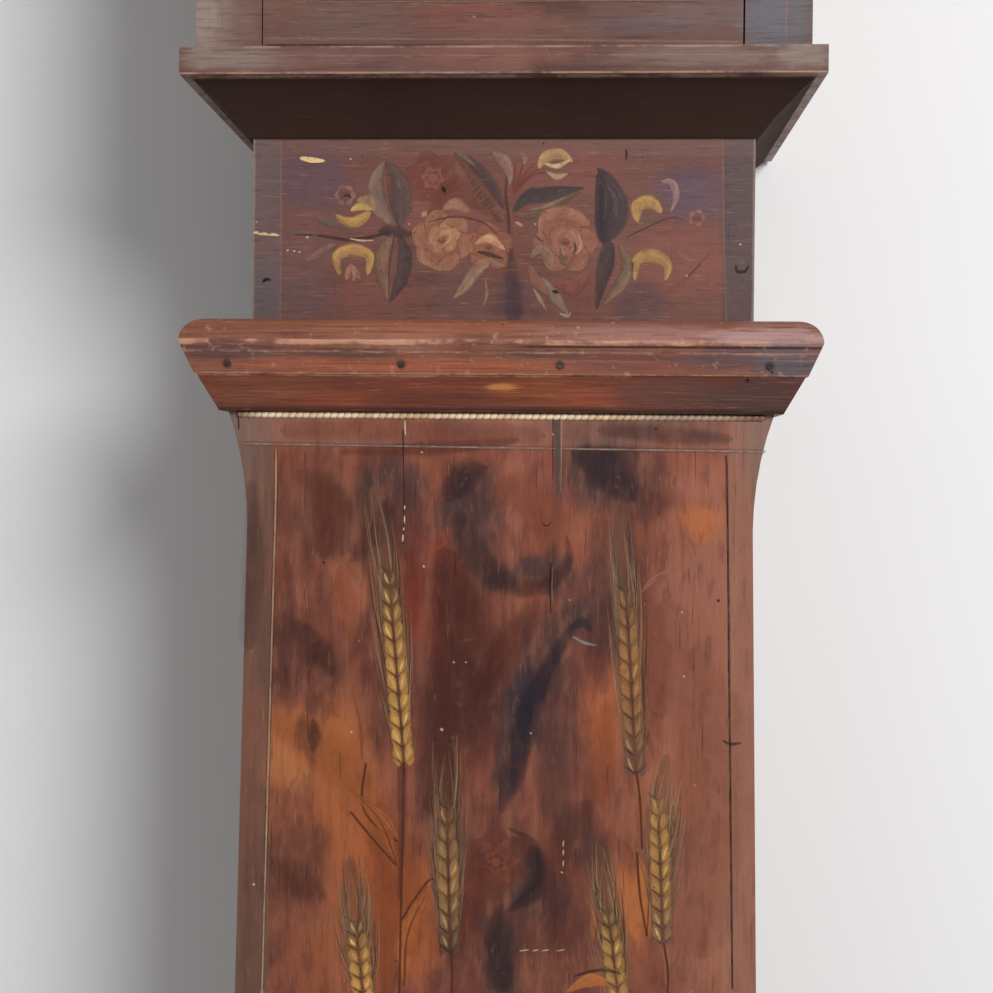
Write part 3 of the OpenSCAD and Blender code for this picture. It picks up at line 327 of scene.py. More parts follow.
# Clouds painted on the trunk: middle and half sizes in pixels of the photo, colour, strength
CLOUDS = [
    ((715, 640), (60, 190), (158, 100, 82), 0.75),
    ((715, 860), (50, 150), (160, 106, 86), 0.8),
    ((330, 850), (70, 170), (146, 86, 58), 0.6),
    ((428, 590), (40, 90), (128, 60, 46), 0.8),
    ((455, 700), (60, 66), (86, 50, 48), 0.8),
    ((480, 900), (90, 110), (92, 54, 46), 0.75),
    ((566, 950), (44, 70), (92, 56, 48), 0.6),
    ((560, 720), (46, 90), (98, 60, 54), 0.6),
    ((610, 600), (46, 70), (96, 62, 58), 0.6),
    ((320, 520), (60, 60), (96, 60, 52), 0.6),
    ((536, 486), (50, 44), (146, 84, 68), 0.85),
    ((560, 540), (36, 36), (150, 84, 62), 0.6),
    ((702, 532), (28, 24), (184, 106, 58), 0.7),
    ((704, 480), (40, 28), (164, 100, 80), 0.7),
    ((345, 588), (18, 34), (166, 100, 76), 0.7),
    ((302, 742), (58, 34), (174, 104, 64), 0.85),
    ((286, 768), (36, 24), (178, 112, 70), 0.6),
    ((346, 800), (34, 84), (172, 98, 56), 0.7),
    ((376, 900), (50, 90), (164, 90, 52), 0.7),
    ((344, 960), (40, 46), (146, 80, 50), 0.6),
    ((420, 930), (26, 70), (168, 92, 52), 0.7),
    ((604, 712), (24, 56), (170, 96, 62), 0.85),
    ((632, 905), (24, 46), (180, 106, 58), 0.8),
    ((660, 790), (34, 60), (168, 104, 74), 0.6),
    ((396, 640), (12, 60), (140, 72, 52), 0.6),
    ((252, 688), (14, 44), (160, 84, 56), 0.8),
    ((640, 645), (26, 20), (160, 96, 72), 0.6),
    ((400, 428), (60, 12), (158, 92, 72), 0.8),
    ((500, 424), (40, 10), (146, 84, 68), 0.7),
    ((608, 428), (62, 14), PLUM, 0.81),
    ((680, 426), (40, 10), (84, 58, 54), 0.8),
    ((455, 432), (20, 12), (92, 60, 54), 0.7),
    ((606, 474), (55, 41), SLATE, 0.85),
    ((640, 500), (25, 31), PLUM, 0.63),
    ((470, 508), (40, 36), SLATE, 0.85),
    ((390, 488), (35, 31), SLATE, 0.77),
    ((408, 530), (28, 48), PLUM, 0.63),
    ((480, 556), (28, 26), SLATE, 0.72),
    ((512, 576), (42, 17), SLATE, 0.77),
    ((556, 572), (20, 24), SLATE, 0.72),
    ((574, 616), (30, 22), SLATE, 0.77),
    ((546, 662), (25, 48), SLATE, 0.81),
    ((526, 712), (25, 53), (44, 42, 52), 0.88),
    ((508, 760), (20, 55), SLATE, 0.85),
    ((566, 700), (25, 60), PLUM, 0.54),
    ((282, 640), (30, 67), PLUM, 0.77),
    ((320, 672), (32, 31), PLUM, 0.54),
    ((313, 738), (12, 24), (88, 58, 48), 0.85),
    ((286, 872), (48, 50), PLUM, 0.6),
    ((270, 940), (26, 30), (92, 56, 46), 0.6),
    ((520, 858), (22, 24), PLUM, 0.72),
    ((540, 892), (32, 36), SLATE, 0.85),
    ((584, 836), (26, 34), (80, 54, 50), 0.8),
    ((500, 968), (25, 55), SLATE, 0.85),
    ((470, 850), (20, 20), (84, 52, 46), 0.6),
    ((450, 600), (30, 31), PLUM, 0.54),
    ((382, 700), (16, 50), (92, 54, 46), 0.6),
    ((425, 790), (14, 40), (70, 46, 46), 0.6),
]


def trunk_paint():
    """Clouded paint of the trunk's front and its door, with darker borders."""
    finish = Finish("trunk_paint")
    grain, brush = wood_marks(finish)
    colour = tinted(finish, [(96, 57, 47), (129, 74, 57), (152, 89, 66)], grain, brush, 1.0, 13)
    warped = finish.place
    for squash, scale, detail, push in ((0.6, 34.0, 5.0, (0.034, 0.0, 0.05)),
                                        (0.4, 130.0, 3.0, (0.007, 0.0, 0.012))):
        warp = finish.add("ShaderNodeTexNoise", {}, Vector=finish.stretch(1, 1, squash), Scale=scale,
                          Detail=detail, out="Color")
        offset = finish.vector("SUBTRACT", warp, (0.5, 0.5, 0.5))
        warped = finish.vector("MULTIPLY_ADD", offset, push, warped)
    # The clouds come again down the door, one panel height lower each time
    panel = 420 * MM
    panel_foot = TRUNK_TOP + 30 * MM - panel
    above_foot = finish.vector("SUBTRACT", warped, (0.0, 0.0, panel_foot))
    folded = finish.vector("WRAP", above_foot, (10.0, 10.0, panel), (-10.0, -10.0, 0.0))
    folded = finish.vector("ADD", folded, (0.0, 0.0, panel_foot))
    ragged = finish.drawn((110, 110, 36), 4, 0.65, seed=5.0)
    colour = add_clouds(finish, colour, folded, CLOUDS, ragged, TRUNK_Y, spread=0.75)
    dabs = finish.drawn((110, 110, 44), 3, 0.6, seed=12.0)
    colour = finish.glaze(colour, dabs, 0.5, 0.66, 0.22, (168, 104, 78))
    colour = finish.glaze(colour, dabs, 0.48, 0.34, 0.30, (66, 40, 36))
    border = finish.smooth(abs(finish.x) + (ragged - 0.5) * 0.002, TRUNK_BORDER, TRUNK_BORDER + 1.5 * MM)
    left = finish.smooth(finish.x, 0.0, -0.01)
    edge_tone = finish.mix(left, srgb(150, 104, 86), srgb(104, 80, 70))
    colour = finish.mix(border * finish.smooth(brush, 0.2, 0.6, 0.35, 0.75), colour, edge_tone)
    head = finish.smooth(finish.z + (ragged - 0.5) * 0.004, TRUNK_TOP - 0.024, TRUNK_TOP - 0.018)
    colour = finish.mix(head * finish.smooth(brush, 0.2, 0.6, 0.2, 0.5), colour, srgb(152, 112, 98))
    corner = finish.smooth(abs(finish.x), 0.145, 0.165)
    corner = corner * finish.smooth(finish.z, TRUNK_TOP - 0.07, TRUNK_TOP - 0.03)
    colour = finish.mix(corner * 0.6, colour, GREY_BROWN)
    colour = finish.glaze(colour, grain, 0.5, 0.72, 0.22, (54, 32, 28))
    colour = finish.glaze(colour, brush, 0.5, 0.75, 0.2, (176, 116, 90))
    colour = bare_behind(finish, colour, TRUNK_Y, grain)
    return worn_coat(finish, colour, grain, brush)


# Patches of the neck's ground, in pixels of the photo
NECK_CLOUDS = [
    ((432, 178), (46, 30), (140, 84, 74), 0.75),
    ((438, 222), (64, 24), (134, 82, 70), 0.6),
    ((372, 296), (60, 22), (126, 78, 68), 0.6),
    ((560, 170), (70, 30), (134, 82, 72), 0.6),
    ((680, 262), (60, 40), (138, 84, 72), 0.7),
    ((590, 296), (44, 24), (122, 74, 66), 0.6),
    ((510, 236), (22, 60), (120, 70, 60), 0.6),
    ((310, 180), (44, 34), (98, 78, 88), 0.7),
    ((300, 250), (40, 30), (112, 80, 78), 0.5),
    ((692, 192), (36, 30), (98, 80, 94), 0.75),
    ((512, 296), (16, 28), (82, 66, 74), 0.6),
    ((640, 300), (26, 22), (84, 68, 74), 0.6),
    ((300, 300), (40, 26), (98, 80, 82), 0.6),
    ((262, 290), (18, 40), (86, 84, 86), 0.8),
    ((262, 180), (14, 50), (112, 92, 94), 0.6),
    ((458, 296), (26, 20), (104, 76, 72), 0.6),
]


def neck_paint():
    """Dark red-brown ground of the neck, greyer towards its edges."""
    finish = Finish("neck_paint")
    grain, brush = wood_marks(finish, "x")
    colour = tinted(finish, [(96, 66, 60), (116, 78, 70), (134, 86, 75)], grain, brush, 4.0, 11)
    ragged = finish.noise(60, 5, 0.65, where=finish.stretch(0.5, 1, 1), seed=2.0)
    colour = add_clouds(finish, colour, finish.place, NECK_CLOUDS, ragged, NECK_Y)
    border = finish.smooth(abs(finish.x), NECK_BORDER, NECK_BORDER + 1.5 * MM)
    colour = finish.mix(border * 0.6, colour, srgb(106, 92, 92))
    right_band = finish.smooth(finish.x, NECK_BORDER - 1.5 * MM, NECK_BORDER + MM)
    colour = finish.mix(right_band * 0.5, colour, srgb(74, 62, 66))
    head = finish.smooth(finish.z + (brush - 0.5) * 0.004, NECK_HEAD - 0.012, NECK_HEAD - 0.009)
    colour = finish.mix(head * 0.3, colour, srgb(124, 98, 92))
    rubbed = finish.noise(90, 4, 0.7, seed=11.0)
    rim = finish.smooth(abs(finish.x) + (rubbed - 0.5) * 0.002, NECK_HALF - 1.8 * MM, NECK_HALF - 0.8 * MM)
    colour = finish.mix(rim * 0.6, colour, srgb(150, 134, 124))
    threads = finish.drawn((240, 240, 1500), 3, 0.6, seed=8.0)
    colour = finish.glaze(colour, threads, 0.52, 0.7, 0.2, (70, 50, 48))
    colour = finish.glaze(colour, threads, 0.46, 0.3, 0.14, (160, 116, 100))
    colour = finish.glaze(colour, grain, 0.5, 0.75, 0.25, (66, 48, 46))
    colour = bare_behind(finish, colour, NECK_Y, grain)
    return worn_coat(finish, colour, grain, brush, rough=0.46, along="x")


# Patches on the waist moulding, in pixels of the photo; the pale grey ones on the round at its right end
# are partly wear, partly painted sheen
MOULDING_CLOUDS = [
    ((250, 322), (90, 10), (138, 88, 64), 0.8),
    ((430, 326), (120, 10), (158, 98, 72), 0.7),
    ((640, 334), (110, 11), (158, 116, 106), 0.8),
    ((770, 338), (60, 12), (176, 140, 136), 0.9),
    ((230, 350), (60, 10), (96, 72, 68), 0.8),
    ((350, 352), (50, 5), (92, 66, 60), 0.85),
    ((300, 364), (90, 7), (166, 94, 70), 0.85),
    ((460, 366), (110, 8), (168, 94, 66), 0.9),
    ((540, 354), (50, 5), (96, 66, 58), 0.8),
    ((640, 360), (60, 10), (116, 74, 68), 0.8),
    ((660, 366), (40, 5), (144, 84, 70), 0.5),
    ((740, 358), (60, 12), (104, 80, 80), 0.85),
    ((790, 362), (34, 18), (96, 92, 98), 0.9),
    ((260, 390), (70, 18), (126, 74, 54), 0.8),
    ((330, 396), (50, 12), (140, 70, 48), 0.6),
    ((430, 384), (60, 10), (128, 64, 44), 0.7),
    ((540, 388), (60, 14), (142, 76, 46), 0.8),
    ((500, 386), (16, 4), (206, 134, 76), 0.9),
    ((590, 396), (40, 12), (160, 86, 60), 0.6),
    ((680, 394), (60, 18), (112, 72, 64), 0.85),
    ((760, 398), (50, 20), (88, 66, 64), 0.9),
]
# Places of the moulding's nails across the clock, and their height
NAIL_X = (-0.1685, -0.060, 0.038, 0.166)
NAIL_Z = (edge("moulding_nails", "z0") + edge("moulding_nails", "z1")) / 2


def waist_paint():
    """Red-orange moulding: pale edges of wear and painted highlight, painted shade on the chamfer and above
    the bead, dark round its nails.
    """
    finish = Finish("waist_paint")
    grain, brush = wood_marks(finish, "x")
    colour = tinted(finish, [(112, 70, 56), (138, 88, 72), (160, 110, 92)], grain, brush, 8.0, 14)
    # The chamfer below the arris: a redder paint, darkened with painted shade because it faces down
    chamfer = finish.smooth(finish.z, ARRIS_Z + 0.0005, ARRIS_Z - 0.0005)
    colour = finish.mix(chamfer * 0.85, colour, srgb(114, 58, 43))
    ragged = finish.drawn((40, 300, 300), 4, 0.7, seed=2.0)
    colour = add_clouds(finish, colour, finish.place, MOULDING_CLOUDS, ragged, NOSE_Y, spread=1.8)
    streaks = finish.drawn((14, 520, 520), 4, 0.65, seed=14.0)
    colour = finish.glaze(colour, streaks, 0.5, 0.7, 0.45, (70, 42, 34))
    colour = finish.glaze(colour, streaks, 0.46, 0.32, 0.28, (186, 132, 108))
    worn = finish.drawn((22, 60, 60), 4, 0.7, seed=3.0)
    fine = finish.noise(220, 3, 0.6, seed=13.0)
    # Pale lines along the nose, the arris and the foot: partly wear, partly painted highlight on the edges
    edges = ((NOSE_Z, 2.2, 0.95), (NOSE_Z - 6 * MM, 0.9, 0.5), (ARRIS_Z, 1.3, 0.6), (TRUNK_TOP, 0.9, 0.3))
    for level, width, strength in edges:
        line = finish.near(finish.z + (worn - 0.5) * 0.004, level, width * MM)
        colour = finish.mix(line * finish.smooth(worn + fine * 0.3, 0.52, 0.76) * strength, colour,
                            PALE_WEAR_AND_HIGHLIGHT)
    under = finish.near(finish.z, NOSE_Z - 0.0026, 0.0011)
    under = under * finish.smooth(finish.x + (worn - 0.5) * 0.1, -0.02, 0.03)
    colour = finish.mix(under * 0.8, colour, srgb(50, 34, 34))
    rubbed = finish.smooth(fine, 0.6, 0.72) * (1 - chamfer)
    colour = finish.mix(rubbed * 0.35, colour, srgb(206, 160, 140))
    for nail_x in NAIL_X:
        away = finish.vector("DISTANCE", finish.stretch(1, 0, 1), (nail_x, 0, NAIL_Z), out="Value")
        stain = finish.smooth(away + fine * 0.0012, 4.8 * MM, 2.1 * MM)
        colour = finish.mix(stain * 0.8, colour, srgb(52, 42, 43))
    colour = finish.glaze(colour, grain, 0.55, 0.75, 0.3, (66, 40, 32))
    right_end = finish.smooth(finish.x + (ragged - 0.5) * 0.05, 0.05, 0.17)
    colour = finish.mix(chamfer * right_end * 0.5, colour, srgb(84, 56, 50))
    # Painted shade along the foot of the chamfer, just above the bead
    shade_above_bead = finish.smooth(finish.z + (fine - 0.5) * 0.001, TRUNK_TOP + 0.0042, TRUNK_TOP + 0.0008)
    colour = finish.mix(shade_above_bead * 0.75, colour, srgb(50, 31, 25))
    return worn_coat(finish, colour, grain, brush, rough=0.4, depth=0.0005, along="x")


# Patches on the hood's foot, in pixels of the photo
HOOD_CLOUDS = [
    ((480, 18), (70, 26), (132, 84, 74), 0.7),
    ((560, 30), (60, 14), (128, 88, 78), 0.6),
    ((350, 24), (60, 22), (116, 92, 84), 0.7),
    ((640, 26), (60, 8), (104, 90, 94), 0.6),
    ((700, 14), (50, 16), (118, 98, 96), 0.6),
    ((206, 20), (16, 40), (160, 142, 134), 0.9),
    ((240, 24), (20, 30), (128, 104, 94), 0.7),
    ((776, 18), (32, 40), (108, 104, 110), 0.95),
    ((230, 62), (60, 12), (142, 124, 116), 0.8),
    ((330, 60), (60, 8), (124, 92, 86), 0.6),
    ((500, 58), (90, 12), (136, 90, 80), 0.7),
    ((700, 60), (80, 10), (132, 110, 100), 0.7),
    ((800, 58), (30, 12), (142, 124, 114), 0.8),
]


def hood_paint():
    """Darker red-brown of the hood, with worn edges on its fascia and painted shade in the cove under it.
    """
    finish = Finish("hood_paint")
    grain, brush = wood_marks(finish, "x")
    colour = tinted(finish, [(92, 65, 58), (112, 81, 73), (128, 94, 85)], grain, brush, 12.0, 11)
    ragged = finish.drawn((50, 120, 120), 4, 0.7, seed=2.0)
    colour = add_clouds(finish, colour, finish.place, HOOD_CLOUDS, ragged, HOOD_Y, spread=1.4)
    stile = finish.smooth(abs(finish.x) + (ragged - 0.5) * 0.02, 0.160, 0.178)
    stile = stile * finish.smooth(finish.z, HOOD_FOOT - 0.002, HOOD_FOOT)
    rubbed = finish.drawn((60, 60, 14), 4, 0.7, seed=31.0)
    pale = finish.mix(finish.smooth(finish.x, -0.01, 0.01), srgb(150, 128, 118), srgb(104, 98, 102))
    colour = finish.mix(stile * finish.smooth(rubbed, 0.35, 0.6, 0.25, 0.75), colour, pale)
    streaks = finish.drawn((30, 520, 520), 4, 0.65, seed=14.0)
    colour = finish.glaze(colour, streaks, 0.5, 0.7, 0.35, (62, 42, 38))
    worn = finish.drawn((30, 70, 70), 4, 0.7, seed=4.0)
    fine = finish.noise(240, 3, 0.6, seed=13.0)
    edges = ((FASCIA_HEAD, 1.8, 0.6), (FASCIA_FOOT, 1.6, 0.75), (FASCIA_HEAD - 6 * MM, 0.5, 0.3))
    for level, width, strength in edges:
        line = finish.near(finish.z + (worn - 0.5) * 0.0014, level, width * MM)
        colour = finish.mix(line * finish.smooth(worn + fine * 0.3, 0.5, 0.74) * strength, colour,
                            srgb(180, 146, 128))
    # Painted shade in the cove under the fascia: taken almost to black-brown, and made rougher with fewer
    # marks
    shaded_cove = finish.smooth(finish.z, FASCIA_FOOT, FASCIA_FOOT - 0.002)
    shaded_cove = shaded_cove * finish.smooth(finish.z, NECK_HEAD - 0.01, NECK_HEAD)
    colour = finish.glaze(colour, grain, 0.55, 0.75, 0.3, (58, 38, 34))
    colour = finish.mix(shaded_cove * 0.92, colour, srgb(52, 33, 27))
    return worn_coat(finish, colour, grain, brush, rough=shaded_cove * 0.45 + 0.4, depth=0.0005, along="x",
                     marks=1 - shaded_cove * 0.85)


def side_paint():
    """Plain red-brown sides, bare inside the case."""
    finish = Finish("side_paint")
    grain, brush = wood_marks(finish)
    colour = tinted(finish, [(84, 50, 42), (110, 64, 52), (132, 80, 62)], grain, brush, 15.0, 6)
    facing = finish.add("ShaderNodeTexCoord", {}, out="Normal")
    nx, ny, _ = finish.parts(facing)
    before_back = finish.smooth(finish.y, BACK_Y - 0.03, BACK_Y - 0.04)
    outward = nx * finish.x.math("SIGN", finish.x) - ny * before_back
    painted = finish.smooth(outward, 0.05, 0.3)
    wood = finish.mix(finish.smooth(grain, 0.35, 0.7), srgb(122, 88, 60), BARE_WOOD)
    colour = finish.mix(painted, wood, colour)
    return worn_coat(finish, colour, grain, brush, rough=0.6)


def bare_board():
    """Old softwood, saw-marked and darkened, with knots."""
    finish = Finish("bare_board")
    grain, brush = wood_marks(finish)
    rings = finish.drawn((70, 70, 2.6), 2, 0.5, distort=0.9, seed=21.0)
    colour = finish.mix(finish.smooth(rings, 0.35, 0.6), srgb(112, 78, 52), BARE_WOOD)
    knots = finish.add("ShaderNodeTexVoronoi", {}, Scale=5.0, out="Distance",
                       Vector=finish.stretch(1, 1, 0.45))
    colour = finish.glaze(colour, knots, 0.10, 0.05, 0.8, (70, 44, 30))
    dust = finish.noise(9, 3, 0.6, seed=2.0)
    colour = finish.glaze(colour, dust, 0.5, 0.75, 0.4, (136, 118, 98))
    colour = finish.glaze(colour, grain, 0.5, 0.7, 0.35, (92, 62, 42))
    finish.set(Base_Color=colour, Roughness=finish.smooth(brush, 0.2, 0.8, 0.68, 0.9),
               Specular_IOR_Level=0.3)
    return finish.bump(grain * 0.7 + rings * 0.6, 0.0004, 0.8)


def iron():
    """Forged iron, hammered and lightly rusted."""
    finish = Finish("iron")
    dents = finish.noise(60, 2, 0.5)
    rust = finish.noise(34, 5, 0.7, seed=3.0)
    colour = finish.mix(finish.smooth(dents, 0.35, 0.7), srgb(44, 42, 42), srgb(84, 80, 78))
    colour = finish.glaze(colour, rust, 0.56, 0.7, 0.75, (98, 58, 38))
    metal = finish.smooth(rust, 0.52, 0.7, 0.75, 0.15)
    finish.set(Base_Color=colour, Metallic=metal, Roughness=finish.smooth(dents, 0.3, 0.7, 0.42, 0.62))
    return finish.bump(dents + rust * 0.4, 0.0005, 0.7)


def polished(name, light, dark, rough, scale=40):
    """A yellow or grey metal with tarnish in cloudy patches and fine turning marks."""
    finish = Finish(name)
    tarnish = finish.noise(scale, 4, 0.65)
    marks = finish.drawn((900, 900, 900), 2, 0.5, seed=1.0)
    colour = finish.mix(finish.smooth(tarnish, 0.42, 0.7), light, dark)
    gloss = finish.smooth(tarnish + marks * 0.2, 0.4, 0.85, rough, rough + 0.25)
    finish.set(Base_Color=colour, Metallic=0.92, Roughness=gloss)
    return finish.bump(marks + tarnish, 0.0001, 0.5)


def enamel():
    """White fired enamel, faintly crazed and clouded."""
    finish = Finish("enamel")
    craze = finish.add("ShaderNodeTexVoronoi", {"feature": "DISTANCE_TO_EDGE"}, Scale=55.0, out="Distance")
    cloud = finish.noise(14, 3, 0.6)
    colour = finish.mix(finish.smooth(cloud, 0.4, 0.7), srgb(240, 237, 226), srgb(226, 221, 206))
    colour = finish.glaze(colour, craze, 0.02, 0.005, 0.25, (150, 140, 124))
    finish.set(Base_Color=colour, Roughness=finish.smooth(cloud, 0.3, 0.7, 0.14, 0.24))
    return finish.bump(cloud, 0.0002, 0.3)


def window_glass():
    """Old glass, thin and a little dusty, with slow waves."""
    finish = Finish("window_glass")
    dust = finish.noise(22, 5, 0.7)
    waves = finish.noise(7, 2, 0.5, where=finish.stretch(1, 1, 0.5))
    colour = finish.mix(dust, srgb(205, 216, 212), srgb(178, 180, 170))
    finish.set(Base_Color=colour, Roughness=finish.smooth(dust, 0.5, 0.8, 0.04, 0.3))
    finish.set(Alpha=finish.smooth(dust, 0.45, 0.8, 0.10, 0.24))
    return finish.bump(waves, 0.0008, 0.5)


def hemp():
    """Three strands of hemp laid round each other, with loose fibres."""
    finish = Finish("hemp")
    crown = finish.add("ShaderNodeAttribute", {"attribute_name": "crown"}, out="Fac")
    fibre = finish.drawn((1400, 1400, 260), 3, 0.6)
    # Painted shade: darker in the grooves between the strands, lighter on their crowns
    colour = finish.mix(finish.smooth(crown, 0.1, 0.8), srgb(92, 70, 46), srgb(184, 156, 112))
    colour = finish.glaze(colour, fibre, 0.5, 0.7, 0.4, (210, 188, 146))
    finish.set(Base_Color=colour, Roughness=finish.smooth(fibre, 0.3, 0.7, 0.8, 0.92),
               Specular_IOR_Level=0.2)
    return finish.bump(fibre, 0.0003, 0.8)


def wound_barrel():
    """Steel barrel with a layer of hemp rope wound on its drum."""
    finish = Finish("wound_barrel")
    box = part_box("going_barrel")
    middle = [(a + b) / 2 for a, b in zip(*box)]
    across = finish.add("ShaderNodeCombineXYZ", {}, abs(finish.x) - middle[0], 0.0, finish.z - middle[2])
    radius = finish.vector("LENGTH", across, out="Value")
    rope_foot, rope_end = box[0][1] + 39 * MM, box[0][1] + 107 * MM
    wound = finish.near(radius, 14.5 * MM, 1.9 * MM) * finish.smooth(finish.y, rope_foot - 1e-4, rope_foot)
    wound = wound * finish.smooth(finish.y, rope_end + 1e-4, rope_end)
    turn = finish.y * 250.0
    crown = 1 - abs(turn.math("FRACT", turn) - 0.5) * 2
    fibre = finish.drawn((500, 1400, 500), 3, 0.6)
    # Painted shade: the wound rope is darker between its turns and lighter on their crowns
    rope = finish.mix(finish.smooth(crown, 0.05, 0.6), srgb(70, 52, 34), srgb(180, 152, 108))
    rope = finish.glaze(rope, fibre, 0.5, 0.7, 0.4, (206, 184, 142))
    tarnish = finish.noise(40, 4, 0.65)
    steel = finish.mix(finish.smooth(tarnish, 0.42, 0.7), srgb(160, 158, 154), srgb(104, 98, 92))
    finish.set(Base_Color=finish.mix(wound, steel, rope), Metallic=(1 - wound) * 0.92)
    finish.set(Roughness=finish.smooth(tarnish, 0.4, 0.85, 0.34, 0.55) + wound * 0.4)
    return finish.bump(crown * wound + tarnish * 0.1, 0.001, 0.7)


def gilt():
    """Cream and gilt paint on the rope bead, with painted shade in the grooves between the twists."""
    finish = Finish("gilt_bead_paint")
    twist = finish.add("ShaderNodeAttribute", {"attribute_name": "twist"}, out="Fac")
    dirt = finish.noise(60, 4, 0.7)
    fade = finish.noise(8, 3, 0.6, where=finish.stretch(1, 0, 0), seed=5.0)
    colour = finish.mix(finish.smooth(dirt, 0.42, 0.72), srgb(250, 224, 188), srgb(214, 174, 134))
    dull = finish.smooth(finish.x, 0.06, 0.11) * 0.85 + finish.smooth(fade, 0.6, 0.72) * 0.15
    colour = finish.mix(dull, colour, srgb(156, 130, 114))
    ends = finish.smooth(abs(finish.x + 0.004), 0.140, 0.164)
    colour = finish.mix(ends, colour, srgb(128, 92, 76))
    # Painted shade in the grooves between the twists
    colour = finish.glaze(colour, twist, 0.4, 0.1, 0.62, (128, 90, 68))
    finish.set(Base_Color=colour, Roughness=0.42)
    return finish.bump(dirt, 0.0002, 0.6)


def ornament_paint():
    """Thin hand paint: each stroke has its pigment, streaks along it and soft, worn rims."""
    finish = Finish("ornament_paint")
    pigment = finish.add("ShaderNodeAttribute", {"attribute_name": "pigment"}, out="Color")
    rim = finish.add("ShaderNodeAttribute", {"attribute_name": "rim"}, out="Fac")
    cover = finish.add("ShaderNodeAttribute", {"attribute_name": "cover"}, out="Fac")
    run = finish.add("ShaderNodeUVMap", {"uv_map": "stroke"}, out="UV")
    bristle = finish.noise(1.0, 3, 0.6, where=finish.stretch(6, 110, 1, base=run))
    worn = finish.noise(260, 4, 0.7, seed=6.0)
    thread = finish.drawn((900, 900, 900), 2, 0.5, seed=16.0)
    colour = finish.glaze(pigment, bristle, 0.5, 0.3, 0.28, (74, 48, 38))
    colour = finish.glaze(colour, bristle, 0.58, 0.8, 0.22, CREAM)
    colour = finish.glaze(colour, thread, 0.5, 0.7, 0.2, (70, 46, 38))
    soft = finish.add("ShaderNodeAttribute", {"attribute_name": "soft"}, out="Fac")
    wash = finish.drawn((110, 110, 80), 4, 0.65, seed=26.0)
    body = finish.smooth((1 - rim + (bristle - 0.5) * 0.4 + (worn - 0.5) * 0.3) / soft, 0.0, 1.0)
    left = finish.smooth(worn, 0.76, 0.62) * finish.smooth(wash, 0.32, 0.6, 0.66, 1.0)
    finish.set(Base_Color=colour, Alpha=body * left * cover, Specular_IOR_Level=0.2)
    finish.set(Roughness=finish.smooth(bristle, 0.3, 0.8, 0.38, 0.52))
    return finish.bump(bristle + worn * 0.4, 0.00015, 0.6)


def black_paint():
    """Black marks on the dial, a little greyed."""
    finish = Finish("dial_black")
    wear = finish.noise(90, 3, 0.6)
    finish.set(Base_Color=finish.mix(wear, srgb(18, 18, 20), srgb(48, 46, 46)), Roughness=0.35)
    return finish.bump(wear, 0.0001, 0.3)


def pressed_brass():
    """Thin stamped brass, bright on the relief and brown in the hollows."""
    finish = Finish("pressed_brass")
    front = edge("dial_surround", "y0")
    lift = finish.smooth(finish.y, front, front - 0.0012)
    tarnish = finish.noise(36, 4, 0.65)
    pebble = finish.add("ShaderNodeTexVoronoi", {}, Scale=420.0, out="Distance")
    colour = finish.mix(finish.smooth(lift + (tarnish - 0.5) * 0.5, 0.1, 0.8), srgb(128, 92, 44),
                        srgb(212, 172, 96))
    finish.set(Base_Color=colour, Metallic=0.9, Roughness=finish.smooth(tarnish, 0.35, 0.7, 0.28, 0.5))
    return finish.bump(pebble * (1 - lift) + tarnish, 0.0003, 0.6)


def direction(angle):
    """One unit at an angle from the first direction of a face."""
    return Vector((math.cos(angle), math.sin(angle)))


def line_through(points, step):
    """A smooth line through points in a plane, sampled about every step."""
    out = []
    points = [Vector(p) for p in points]
    ends = [points[0] * 2 - points[1], *points, points[-1] * 2 - points[-2]]
    for a, b, c, d in zip(ends, ends[1:], ends[2:], ends[3:]):
        count = max(2, int((c - b).length / step))
        for i in range(count):
            t = i / count
            bend = (2 * a - 5 * b + 4 * c - d) * t * t + (3 * b - a - 3 * c + d) * t ** 3
            out.append(0.5 * (2 * b + (c - a) * t + bend))
    out.append(points[-1])
    return out


def at_share(values, share):
    """The value at a share of the way along a list, between its neighbours."""
    place = share * (len(values) - 1)
    i = min(int(place), len(values) - 2)
    return values[i] + (values[i + 1] - values[i]) * (place - i)


